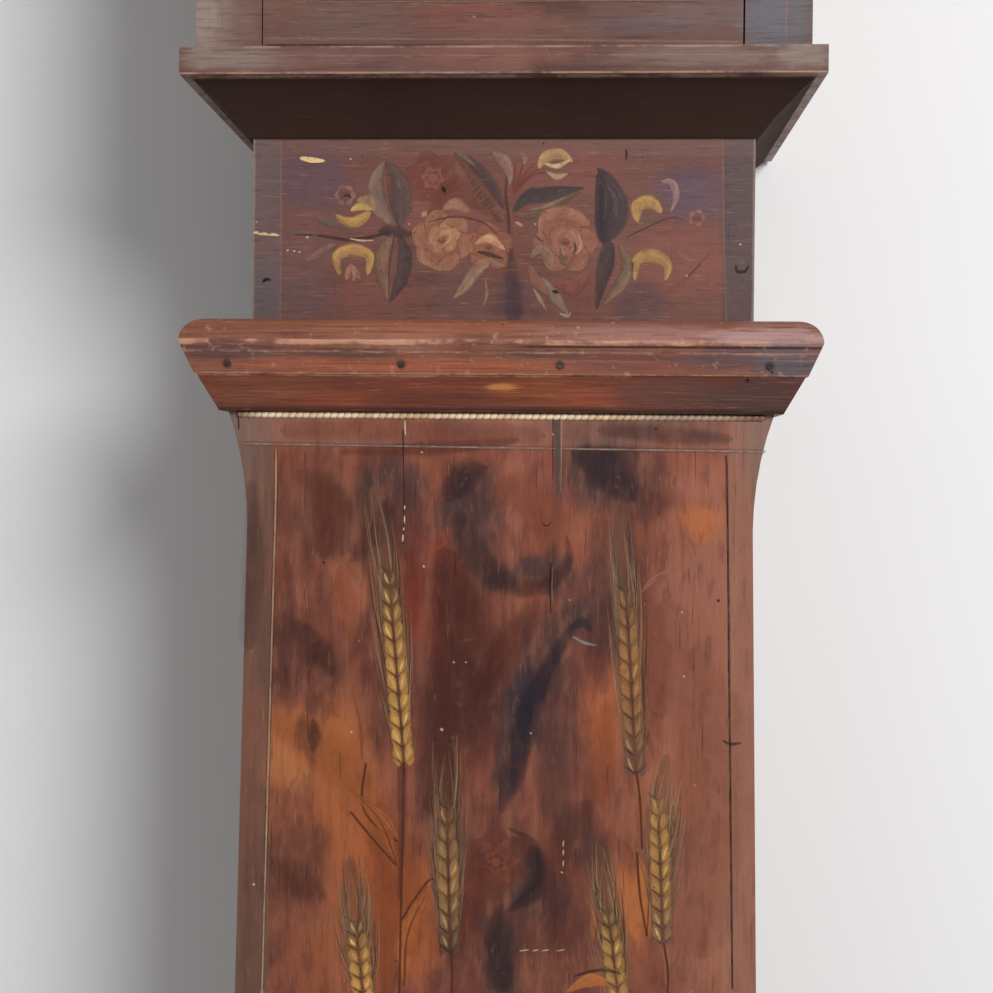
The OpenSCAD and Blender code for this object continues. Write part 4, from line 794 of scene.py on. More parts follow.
class Strokes:
    """Strokes laid on an upright face and gathered into one mesh: paint, or pressed ridges."""

    SIDES = (-1.0, -0.55, 0.0, 0.55, 1.0)
    LAYER = 0.03 * MM
    softness = 0.45

    def __init__(self, place, unit, step):
        self.place = place
        self.unit = unit
        self.step = step
        self.verts = []
        self.faces = []
        self.colours = []
        self.rims = []
        self.covers = []
        self.softs = []
        self.runs = []
        self.count = 0

    def lay(self, line, widths, colour, shade=None, level=1, cover=1.0, height=0.0, soft=None, fade=0.0):
        """One stroke. The line and the widths are in the place's own units; soft is the share of
        it that is rim, and fade thins it towards its ends."""
        shade = shade or colour
        path = line_through(line, min(self.step, max(max(widths) / 4, self.step / 4)))
        long = sum((b - a).length for a, b in zip(path, path[1:]))
        self.count += 1
        lift = self.LAYER * (level + 0.09 * (self.count % 10))
        start = len(self.verts)
        walked = 0.0
        for i, point in enumerate(path):
            share = i / (len(path) - 1)
            ahead = path[min(i + 1, len(path) - 1)] - path[max(i - 1, 0)]
            across = Vector((-ahead.y, ahead.x)).normalized() if ahead.length else Vector((1, 0))
            half = max(at_share(widths, share) / 2, 0.01)
            room = min(share, 1 - share) * long
            if height == 0.0 and room < half:
                half = max(math.sqrt(half * half - (half - room) ** 2), 0.1 * half)
            if i:
                walked += (point - path[i - 1]).length * self.unit
            for side in self.SIDES:
                at = self.place(point + across * half * side)
                at.y -= lift + height * (1 - side * side)
                self.verts.append(at)
                k = (side + 1) / 2
                self.colours.append([a + (b - a) * k for a, b in zip(colour, shade)])
                self.rims.append(abs(side) ** 1.5)
                self.covers.append(cover * (1 - fade * (2 * share - 1) ** 2))
                self.softs.append(soft or self.softness)
                self.runs.append((k + 0.37 * self.count, walked + 0.11 * self.count))
        n = len(self.SIDES)
        for i in range(len(path) - 1):
            for k in range(n - 1):
                a = start + i * n + k
                self.faces.append((a, a + 1, a + n + 1, a + n))

    def piece(self, name, finish, body, smooth=False):
        """Makes one mesh of all the strokes, on a body of the clock."""
        values = {"rim": self.rims, "cover": self.covers, "soft": self.softs}
        obj = mesh_object(name, self.verts, self.faces, finish, smooth, values)
        mesh = obj.data
        pigment = mesh.attributes.new("pigment", "FLOAT_COLOR", "POINT")
        pigment.data.foreach_set("color", [c for colour in self.colours for c in colour])
        run = mesh.uv_layers.new(name="stroke")
        run.data.foreach_set("uv", [c for loop in mesh.loops for c in self.runs[loop.vertex_index]])
        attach(obj, body)


def mesh_object(name, verts, faces, finish, smooth=False, values=None):
    """A new object in one finish, with a value for each vertex under each label."""
    mesh = bpy.data.meshes.new(name)
    mesh.from_pydata(verts, [], faces)
    for label, numbers in (values or {}).items():
        mesh.attributes.new(label, "FLOAT", "POINT").data.foreach_set("value", numbers)
    mesh.polygons.foreach_set("use_smooth", [smooth] * len(mesh.polygons))
    mesh.materials.append(finish.material)
    obj = bpy.data.objects.new(name, mesh)
    bpy.context.scene.collection.objects.link(obj)
    return obj


def mesh_piece(name, verts, faces, finish, body, values=None):
    """A smooth new piece on a body of the clock."""
    obj = mesh_object(name, verts, faces, finish, True, values)
    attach(obj, body)
    return obj


def lay_rows(strokes, rows):
    """Lays the strokes of a table."""
    for line, widths, colour, shade, level, cover, *soft in rows:
        strokes.lay(line, widths, paint(colour), shade and paint(shade), level=level, cover=cover,
                    soft=soft[0] if soft else None)


def lay_leaves(strokes, rows):
    """Lays the leaves of a table."""
    for root, tip, bend, width, left, right, cover in rows:
        leaf(strokes, root, tip, bend, width, paint(left), paint(right), cover=cover)


def petals(strokes, centre, reach, count, spread, widths, colours, level, cover, turn=0.0):
    """A ring of short curved strokes round a centre."""
    for i in range(count):
        a = i * math.tau / count + turn
        arc = [Vector(centre) + direction(a + d) * reach for d in (-spread, 0, spread)]
        strokes.lay(arc, widths, *colours, level=level, cover=cover)


# Pigments of the ornament
GOLD = srgb(218, 160, 88)
GLEAM = srgb(250, 208, 138)
OLIVE_GOLD = srgb(188, 140, 84)
DULL = srgb(128, 98, 70)
GAP = srgb(58, 38, 28)
AWNS = (srgb(182, 144, 108), srgb(154, 118, 88), srgb(130, 106, 88), srgb(80, 56, 46))
VEIL = srgb(116, 88, 70)
STEM = srgb(88, 50, 36)
LEAF_ORANGE = srgb(190, 110, 62)

# Wheat ears of the trunk, in pixels of the photo: top of the awns, head and foot of the
# grains, width, pairs of grains, colours of foot, middle and head, and of the gleam
WHEAT_EARS = [
    ((376, 494), (389, 572), (404, 764), 25, 11, (GOLD, GOLD, (120, 92, 62)), GLEAM),
    ((619, 504), (626, 592), (636, 774), 25, 10, ((128, 96, 82), (192, 134, 82), (148, 106, 76)),
     (204, 152, 94)),
    ((446, 734), (447, 808), (450, 952), 25, 8, ((112, 84, 70), (184, 138, 86), (138, 96, 70)),
     (206, 162, 102)),
    ((668, 754), (658, 800), (663, 944), 25, 9, ((150, 112, 90), (202, 146, 82), OLIVE_GOLD),
     (228, 182, 114)),
    ((350, 856), (356, 922), (364, 1006), 27, 6, (GOLD, GOLD, DULL), GLEAM),
    ((599, 842), (608, 912), (619, 1002), 25, 6, (OLIVE_GOLD, (200, 146, 82), DULL), (226, 178, 110)),
]


# Broad soft washes under the ears, in pixels of the photo: line, widths, colour, cover
WASHES = [
    ([(446, 502), (462, 478), (488, 468)], [20, 54, 20], (58, 40, 46), 0.6),
    ([(458, 510), (474, 552), (508, 584), (546, 586), (568, 562), (566, 534)], [18, 38, 34, 24, 18, 6],
     (66, 43, 45), 0.45),
    ([(488, 506), (516, 490), (546, 518), (554, 558)], [16, 58, 60, 20], (140, 76, 56), 0.45),
    ([(570, 450), (606, 468), (634, 502)], [20, 62, 26], (54, 40, 48), 0.6),
    ([(292, 618), (312, 646), (334, 676)], [16, 46, 20], (72, 43, 42), 0.5),
    ([(266, 716), (310, 740), (352, 780), (384, 856)], [24, 64, 50, 30], (170, 98, 54), 0.4),
    ([(313, 718), (315, 736), (312, 754)], [8, 18, 6], (84, 54, 46), 0.6),
    ([(444, 546), (460, 640), (452, 730), (432, 816)], [40, 96, 104, 50], (84, 44, 38), 0.62),
    ([(576, 622), (554, 656), (530, 708), (514, 768), (500, 814)], [12, 22, 34, 34, 14], (42, 38, 52),
     0.62),
    ([(562, 690), (554, 760), (560, 844)], [24, 60, 30], (94, 66, 64), 0.35),
    ([(380, 800), (394, 880), (386, 992)], [30, 84, 60], (146, 72, 40), 0.4),
    ([(270, 858), (296, 880), (326, 900)], [20, 50, 24], (82, 48, 43), 0.35),
    ([(512, 836), (534, 860), (532, 892), (506, 912)], [10, 28, 26, 8], (54, 41, 48), 0.6),
    ([(486, 842), (502, 868), (490, 896)], [14, 44, 14], (146, 80, 58), 0.5),
    ([(502, 904), (500, 950), (504, 992)], [20, 46, 42], (56, 41, 46), 0.5),
    ([(608, 700), (602, 760), (600, 806)], [16, 36, 16], (170, 92, 56), 0.5),
    ([(612, 590), (600, 640), (604, 694)], [14, 42, 20], (94, 58, 54), 0.4),
    ([(394, 496), (372, 536), (350, 562)], [16, 42, 16], (66, 46, 47), 0.4),
    ([(412, 546), (414, 580), (408, 640)], [16, 34, 16], (128, 58, 42), 0.4),
    ([(340, 566), (346, 600), (350, 646)], [14, 36, 14], (166, 92, 62), 0.45),
    ([(662, 600), (700, 700), (706, 800), (700, 960)], [40, 96, 96, 70], (152, 90, 68), 0.4),
    ([(280, 430), (400, 430), (546, 436)], [24, 36, 24], (138, 72, 52), 0.42),
    ([(596, 430), (660, 434), (734, 440)], [14, 28, 14], (80, 51, 48), 0.45),
    ([(252, 480), (254, 560), (248, 650)], [18, 30, 26], (88, 64, 58), 0.45),
    ([(296, 470), (330, 500), (322, 560)], [20, 56, 24], (108, 56, 44), 0.45),
    ([(540, 600), (500, 660), (474, 700)], [20, 50, 24], (96, 50, 42), 0.45),
    ([(590, 800), (560, 860), (560, 960)], [24, 60, 40], (104, 56, 46), 0.4),
    ([(450, 960), (470, 900), (480, 850)], [20, 46, 20], (112, 54, 40), 0.4),
    ([(640, 560), (650, 640), (660, 720)], [20, 56, 30], (138, 76, 56), 0.35),
    ([(520, 440), (440, 448), (340, 452)], [8, 22, 8], (112, 54, 42), 0.5),
]


def wheat_ear(strokes, fan_top, head, foot, width, pairs, tones, gleam, chance):
    """An ear: a veil of awns that spreads round it, two columns of grains, dark chevrons."""
    head, foot, fan_top = Vector(head), Vector(foot), Vector(fan_top)
    axis = head - foot
    up = axis.normalized()
    side = Vector((-up.y, up.x))
    pitch = axis.length / pairs
    whole = fan_top - foot

    def tone(t, values):
        blends = zip(*[paint(value) for value in values])
        return [a + (b - a) * (2 * t) if t < 0.5 else b + (c - b) * (2 * t - 1) for a, b, c in blends]

    spine = [foot, foot + axis * 0.35, foot + axis * 0.75, head + (fan_top - head) * 0.5, fan_top]
    strokes.lay(spine, [width * share for share in (0.5, 1.3, 1.7, 1.5, 1.0, 0.4)], VEIL,
                level=1, cover=0.34, soft=0.9)
    for i in range(96):
        t = chance.uniform(0.0, 1.0)
        hand = 1 if i % 2 else -1
        start = foot + axis * t + side * hand * width * chance.uniform(0.0, 0.42)
        reach = min(1.0, t * 0.5 + chance.uniform(0.38, 0.6))
        end = foot + whole * reach + side * hand * width * chance.uniform(0.0, 1.3) * (1.1 - 0.7 * reach)
        awn = [start, start.lerp(end, 0.5) + side * hand * width * 0.10, end]
        strokes.lay(awn, [1.3, 1.1, 0.5], chance.choice(AWNS), level=2,
                    cover=chance.uniform(0.3, 0.75), fade=0.4)
    for k in range(pairs):
        t = (k + 0.5) / pairs
        full = tone(t, tones)
        centre = foot + axis * t
        taper = 1.0 - 0.45 * max(0.0, t - 0.7) / 0.3
        worn = 0.95 - 1.3 * max(0.0, t - 0.75)
        for hand in (-1, 1):
            middle = side * hand * width * 0.22 * taper
            strokes.lay([centre + middle - up * pitch * 0.62, centre + middle * 1.1 + up * pitch * 0.62],
                        [width * taper * share for share in (0.4, 0.48, 0.42)],
                        [c * 0.74 for c in full[:3]] + [1.0], level=3, cover=0.8 * worn, soft=0.6)
            dim = chance.uniform(0.86, 1.1) * (1.0 if hand < 0 else 0.92)
            own = [min(1.0, c * dim) for c in full[:3]] + [1.0]
            low = centre - up * pitch * chance.uniform(0.30, 0.42) + side * hand * width * 0.17 * taper
            high = centre + up * pitch * chance.uniform(0.56, 0.74) + side * hand * width * 0.29 * taper
            half_way = low.lerp(high, 0.5)
            strokes.lay([low, half_way, high], [width * taper * share for share in (0.30, 0.42, 0.26)], own,
                        [c * 0.82 for c in own[:3]] + [1.0], level=4, cover=0.85 * worn, soft=0.55)
            lit = (0.9 if (hand > 0) == (0.2 < t < 0.62) else 0.4) * chance.uniform(0.5, 1.0)
            shine = [low + up * 2 - side * 1.6 * hand, half_way + side * chance.uniform(-1.2, 1.2),
                     high - up * 3]
            strokes.lay(shine, [1.0, width * 0.17, 1.0], paint(gleam), level=5,
                        cover=lit * (1.0 - 0.8 * max(0.0, t - 0.6)), soft=0.8)
    for k in range(pairs + 1):
        centre = foot + axis * (k / pairs)
        for hand in (-1, 1):
            outer = centre + up * pitch * 0.50 + side * hand * width * 0.43
            weight = chance.uniform(0.6, 1.0) * (1.0 if hand < 0 else 0.6)
            strokes.lay([centre - up * 1.0, centre.lerp(outer, 0.6) - up * 0.4, outer],
                        [1.2, 3.0 * weight, 0.8], GAP, level=6, cover=(0.85 - 0.5 * k / pairs) * weight,
                        soft=0.7)
    strokes.lay([foot, foot + axis * 0.5, foot + axis * 0.85], [1.0, 1.5, 0.8], GAP, level=6, cover=0.3)


def leaf(strokes, root, tip, bend, width, left, right, level=2, cover=0.9):
    """A leaf in two tones with a dark midrib; bend pushes its middle sideways."""
    root, tip = Vector(root), Vector(tip)
    along = tip - root
    side = Vector((-along.y, along.x)).normalized()
    middle = root + along * 0.5 + side * bend
    strokes.lay([root, middle, tip], [1.0, width, width * 0.8, 0.5], left, right, level=level, cover=cover,
                soft=0.7)
    strokes.lay([root, middle, tip], [width * 0.10, width * 0.08, 0.3], STEM, level=level + 1, cover=0.5)


# Stems of the trunk, in pixels of the photo
TRUNK_STEMS = [
    [(404, 762), (402, 860), (399, 1010)],
    [(636, 770), (640, 800), (642, 850)],
    [(451, 950), (452, 980), (450, 1012)],
    [(664, 943), (668, 975), (666, 1012)],
    [(350, 811), (372, 838), (397, 866)],
    [(402, 920), (414, 900), (433, 879), (438, 915), (441, 957)],
    [(637, 852), (640, 895), (647, 937)],
    [(366, 762), (362, 800), (372, 822), (398, 842)],
]
# Its leaves: root, tip, bend, width, colours of the left and right half, cover
TRUNK_LEAVES = {
    "large": [
        ((397, 864), (347, 786), 9, 17, LEAF_ORANGE, (168, 92, 54), 0.6),
        ((399, 840), (362, 800), 5, 9, (196, 120, 70), LEAF_ORANGE, 0.65),
        ((404, 986), (432, 884), -10, 30, LEAF_ORANGE, (180, 100, 56), 0.75),
        ((647, 937), (637, 852), 6, 22, (196, 124, 68), LEAF_ORANGE, 0.7),
        ((594, 945), (590, 900), 5, 16, LEAF_ORANGE, (164, 90, 52), 0.6),
    ],
    "small": [
        ((640, 594), (676, 568), -4, 8, (176, 124, 108), (156, 100, 84), 0.75),
        ((362, 760), (352, 690), 3, 6, (176, 108, 70), (150, 84, 58), 0.5),
    ],
}
# Its pale knocks: place and size
TRUNK_DOTS = [
    (442, 729, 4.6), (531, 733, 2.6), (562, 872, 2.6), (424, 566, 3.4), (454, 662, 2.6), (466, 662, 2.2),
    (684, 676, 3.0), (422, 452, 2.6), (254, 884, 3.4), (682, 612, 2.6), (570, 600, 2.2), (553, 434, 2.6),
]
# Its border lines: a faint pale one across the head, a tan one at the left, a dark one at the right
PALE_LINE = [(243, 443.5), (500, 447.7), (766, 451.7)]
LEFT_LINE = [(276, 448), (275.7, 500), (268.6, 750), (262, 990)]
RIGHT_LINE = [(726, 455), (727.4, 500), (730, 750), (732.4, 990)]
# Its faded rose: middle, and the radius, colour and cover of each ring
FADED_ROSE = (496, 862)
FADED_RINGS = [(34, (132, 76, 62), 0.4), (20, (150, 88, 70), 0.4), (8, (112, 62, 52), 0.5)]
# Scars along the crack, as height and length, and small scratches: where they start
CRACK_X = 404
CRACK_SCARS = [(420, 16), (505, 5), (515, 9), (527, 4), (534, 8)]
SCRATCHES_ACROSS = [(519, 951), (532, 951), (541, 951), (556, 951)]
SCRATCHES_DOWN = [(563.5, 840), (563.5, 849), (563.5, 860)]
# Single strokes of the trunk, in pixels of the photo. A row has its line, widths, colour, the
# colour of its other side if that differs, level, cover, and its share of rim if that is not
# the usual one
TRUNK_STROKES = {
    "right edge": [
        ([(732, 440), (731, 560), (734, 990)], [1.6, 1.4], (176, 132, 108), None, 2, 0.4),
        ([(722, 740), (730, 744), (742, 743)], [2, 4, 2], (70, 44, 40), None, 3, 0.6),
    ],
    "stem's shade": [
        ([(402, 764), (402, 830), (399, 900)], [12, 8, 4], (112, 66, 50), None, 1, 0.5),
    ],
    "folded leaf": [
        ([(566, 992), (590, 980), (616, 986)], [3, 18, 4], (206, 128, 70), LEAF_ORANGE, 3, 0.7),
        ([(574, 976), (600, 970), (622, 974)], [2, 4, 2], (56, 38, 30), None, 4, 0.5),
    ],
    "dark crescent": [
        ([(508, 828), (534, 844), (538, 878), (516, 904)], [4, 12, 12, 3],
         (46, 38, 42), None, 2, 0.35, 0.95),
    ],
    "cracks": [
        ([(557, 413), (557.5, 455), (557, 497)], [7.5, 7.0, 5, 2], (92, 84, 76), None, 5, 0.72),
        ([(561.5, 414), (561, 492)], [1.4, 1.0], (176, 156, 134), None, 6, 0.6),
        ([(553, 414), (553, 480)], [1.4, 1.0], (36, 30, 28), None, 6, 0.8),
        ([(557, 500), (552, 540), (551, 565)], [1.6, 1.4], (120, 96, 84), None, 5, 0.45),
        ([(551, 562), (550, 588), (551, 614)], [1.2, 2.0, 0.8], (30, 22, 22), None, 6, 0.85),
        ([(553, 566), (552, 588), (553, 604)], [0.8, 1.0, 0.6], (186, 150, 120), None, 6, 0.4),
        ([(403, 430), (404, 500), (403, 546)], [1.6, 1.2], (46, 34, 32), None, 5, 0.75),
    ],
    "knocks": [
        ([(238, 407), (239, 430)], [2.0, 1.4], (40, 28, 26), None, 5, 0.9),
        ([(541, 521), (546, 526), (552, 522)], [1.0, 1.8, 0.8], (44, 32, 32), None, 6, 0.7),
        ([(570, 630), (582, 622), (592, 632)], [4, 14, 5], (58, 52, 56), None, 5, 0.7, 0.9),
        ([(572, 636), (583, 642), (597, 646)], [2, 5, 2], (148, 140, 132), None, 6, 0.75, 0.8),
    ],
}


def trunk_ornament(finish):
    """Ears, stems, leaves, border lines and the marks of age on the trunk's front."""
    strokes = Strokes(lambda p: on_board(p.x, p.y, TRUNK_Y), TRUNK_PIXEL, 6.0)
    chance = random.Random(5)
    for line, widths, colour, cover in WASHES:
        strokes.lay(line, widths, paint(colour), level=0.4, cover=cover, soft=0.95, fade=0.5)
    # Border lines, each with worn dashes along it
    strokes.lay(PALE_LINE, [6.0, 6.0], srgb(84, 64, 58), level=1, cover=0.3, soft=0.9)
    strokes.lay(PALE_LINE, [2.8, 2.2, 3.2, 2.4, 3.0], srgb(168, 138, 126), level=2, cover=0.5, soft=0.8)
    for i in range(60):
        x = 250 + 8.5 * i + chance.uniform(-3, 3)
        y = 443.6 + (x - 243) * 0.0157
        strokes.lay([(x, y), (x + chance.uniform(4, 12), y + 0.2)], [0.9, 1.5, 0.9], srgb(196, 166, 152),
                    level=3, cover=chance.uniform(0.1, 0.6))
    strokes.lay(LEFT_LINE, [6.0, 5.6], srgb(64, 44, 38), level=1, cover=0.35, soft=0.9)
    strokes.lay(LEFT_LINE, [2.2, 2.6, 2.1, 2.5, 2.1, 2.5], srgb(184, 146, 114), level=2, cover=0.8,
                soft=0.8)
    for i in range(40):
        y = 462 + 13 * i + chance.uniform(-5, 5)
        x = 275.9 - max(0.0, y - 500) * 0.0285
        strokes.lay([(x, y), (x - 0.4, y + chance.uniform(8, 26))], [0.8, 1.8, 0.8], srgb(220, 184, 146),
                    level=3, cover=chance.uniform(0.1, 0.6))
    strokes.lay(RIGHT_LINE, [3.0, 3.4, 2.8, 3.2], srgb(64, 41, 36), level=1, cover=0.65, soft=0.8)
    for i in range(20):
        y = 470 + 26 * i + chance.uniform(-8, 8)
        x = 727 + (y - 500) * 0.011 + chance.uniform(-0.6, 0.6)
        strokes.lay([(x, y), (x, y + chance.uniform(8, 24))], [0.8, 1.8, 0.8], srgb(34, 24, 24), level=2,
                    cover=chance.uniform(0.2, 0.6))
    lay_rows(strokes, TRUNK_STROKES["right edge"])
    # Stems and leaves lie under the ears
    for stem in TRUNK_STEMS:
        strokes.lay(stem, [2.9, 2.7, 2.5], STEM, level=2, cover=0.75)
    lay_rows(strokes, TRUNK_STROKES["stem's shade"])
    lay_leaves(strokes, TRUNK_LEAVES["large"])
    lay_rows(strokes, TRUNK_STROKES["folded leaf"])
    lay_leaves(strokes, TRUNK_LEAVES["small"])
    for ear in WHEAT_EARS:
        wheat_ear(strokes, *ear, chance)
    # A faded round rose with a dark crescent
    for radius, tint, cover in FADED_RINGS:
        petals(strokes, FADED_ROSE, radius * 0.8, 6, 0.55, [radius * 0.2, radius * 0.75, radius * 0.2],
               (paint(tint), srgb(110, 60, 50)), 1, cover, turn=radius)
    lay_rows(strokes, TRUNK_STROKES["dark crescent"])
    # Cracks, knocks and scratches
    lay_rows(strokes, TRUNK_STROKES["cracks"])
    for y, long in CRACK_SCARS:
        x = CRACK_X + chance.uniform(-1, 1)
        strokes.lay([(x, y), (x + chance.uniform(-0.8, 0.8), y + long)], [1.0, 2.0, 0.9],
                    srgb(226, 204, 184), level=6, cover=0.85)
    lay_rows(strokes, TRUNK_STROKES["knocks"])
    for x, y in SCRATCHES_ACROSS:
        strokes.lay([(x, y), (x + chance.uniform(6, 12), y - 1.5)], [0.9, 1.6, 0.8], srgb(206, 180, 160),
                    level=6, cover=0.75)
    for x, y in SCRATCHES_DOWN:
        strokes.lay([(x, y), (x - 0.5, y + 7)], [1.0, 2.2, 0.8], srgb(206, 176, 140), level=6, cover=0.7)
    for x, y, size in TRUNK_DOTS:
        dot = [(x - size * 0.4, y - size * 0.3), (x, y + size * 0.2), (x + size * 0.3, y - size * 0.1)]
        strokes.lay(dot, [size * 0.5, size * 0.8, size * 0.4], srgb(214, 190, 164), level=6, cover=0.85)
    for i in range(150):
        x, y = chance.uniform(246, 754), chance.uniform(420, 992)
        long = chance.uniform(6, 34)
        pale = i % 3 == 0
        colour = srgb(186, 132, 104) if pale else srgb(44, 28, 26)
        strokes.lay([(x, y), (x + chance.uniform(-1.5, 1.5), y + long)], [0.6, 1.1, 0.5], colour, level=5,
                    cover=chance.uniform(0.15, 0.5))
    strokes.piece("trunk_ornament", finish, "case")


def rose(strokes, centre, radius, outer, inner, heart, count, turn):
    """An open rose: a soft disc, petals with pale rims, a ring of small ones and a heart."""
    centre = Vector(centre)
    disc = [centre + Vector((radius * share, 0)) for share in (-0.95, -0.5, 0.5, 0.95)]
    strokes.lay(disc, [radius * 0.7, radius * 1.75, radius * 1.75, radius * 0.7], outer, inner,
                level=2, cover=0.92)
    for i in range(count):
        out = direction(turn + i * math.tau / count)
        side = Vector((-out.y, out.x))
        middle = centre + out * radius * 0.70
        reach = radius * 0.46
        strokes.lay([middle - side * reach - out * 0.16 * radius, middle + out * 0.05 * radius,
                     middle + side * reach - out * 0.16 * radius],
                    [radius * 0.3, radius * 0.66, radius * 0.3], outer, inner, level=3, cover=0.8)
        strokes.lay([middle - side * reach * 0.9 + out * 0.10 * radius, middle + out * 0.30 * radius,
                     middle + side * reach * 0.9 + out * 0.10 * radius],
                    [1.0, radius * 0.09, 1.0], heart, level=4, cover=0.45)
        strokes.lay([middle - side * reach - out * 0.4 * radius,
                     middle - side * reach * 0.98 + out * 0.08 * radius],
                    [1.0, radius * 0.06, 1.0], srgb(96, 56, 46), level=4, cover=0.4)
    ring = [radius * 0.1, radius * 0.26, radius * 0.1]
    petals(strokes, centre, radius * 0.34, 5, 0.6, ring, (heart, outer), 5, 0.8, turn=turn + 0.5)
    across = Vector((radius * 0.16, 0))
    strokes.lay([centre - across, centre, centre + across], [radius * 0.2, radius * 0.3, radius * 0.2],
                inner, srgb(110, 66, 52), level=5, cover=0.8)


def lay_roses(strokes, rows):
    """Lays the roses of a table."""
    for centre, radius, outer, inner, heart, count, turn in rows:
        rose(strokes, centre, radius, paint(outer), paint(inner), paint(heart), count, turn)


# Pigments of the spray
SALMON = srgb(180, 124, 98)
ROSE_PINK = srgb(158, 102, 84)
ROSE_LIGHT = srgb(200, 150, 112)
GREY_TAN = srgb(154, 126, 108)
DARK_LEAF = srgb(84, 68, 68)
BUD_YELLOW = srgb(212, 164, 100)
BUD_SHADE = srgb(160, 116, 80)


# The spray's grid: how much it magnifies the photo, and where it starts in the photo
ZOOM = 3.045
GRID_LEFT = 245
GRID_TOP = 136
# Border lines of the neck in that grid, with their cover
NECK_LINES = [
    ([(108, 6), (110, 280), (106, 572)], 0.6),
    ([(1456, 6), (1458, 300), (1466, 572)], 0.55),
    ([(108, 545), (600, 548), (1460, 552)], 0.25),
]
# Roses of the spray: middle, radius, paints from the rim to the heart, petals, turn
ROSES = {
    "left": [
        ((600, 318), 92, SALMON, ROSE_PINK, ROSE_LIGHT, 6, 0.3),
        ((610, 306), 46, ROSE_LIGHT, (184, 130, 98), (214, 172, 128), 5, 1.0),
        ((742, 338), 74, (174, 114, 90), (154, 98, 78), SALMON, 5, 0.9),
    ],
    "right": [
        ((976, 322), 96, (172, 116, 96), ROSE_PINK, (186, 132, 106), 6, 0.0),
    ],
}
# Middles of its other flowers, and the rings of the faded one as radius and colour
FADED_PETALS = (572, 128)
PETAL_RINGS = [(84, (144, 86, 72)), (52, (132, 76, 64)), (24, (150, 92, 78))]
PINK_BUD = (305, 180)
RIGHT_BUD = (1376, 250)
TULIP_FOOT = (820, 176)
TULIP_TIPS = [(796, 90), (822, 80), (852, 74), (880, 84), (905, 96), (930, 108)]
# Pale chips: left end, right end, height; and dots: place and size
NECK_CHIPS = [(24, 46, 296), (40, 76, 300), (70, 106, 302)]
NECK_DOTS = [
    (190, 308, 13), (130, 348, 11), (150, 350, 9), (166, 353, 9), (1345, 425, 9), (322, 70, 9),
    (362, 320, 10), (36, 262, 8), (1508, 330, 10), (884, 268, 8), (500, 268, 7),
]
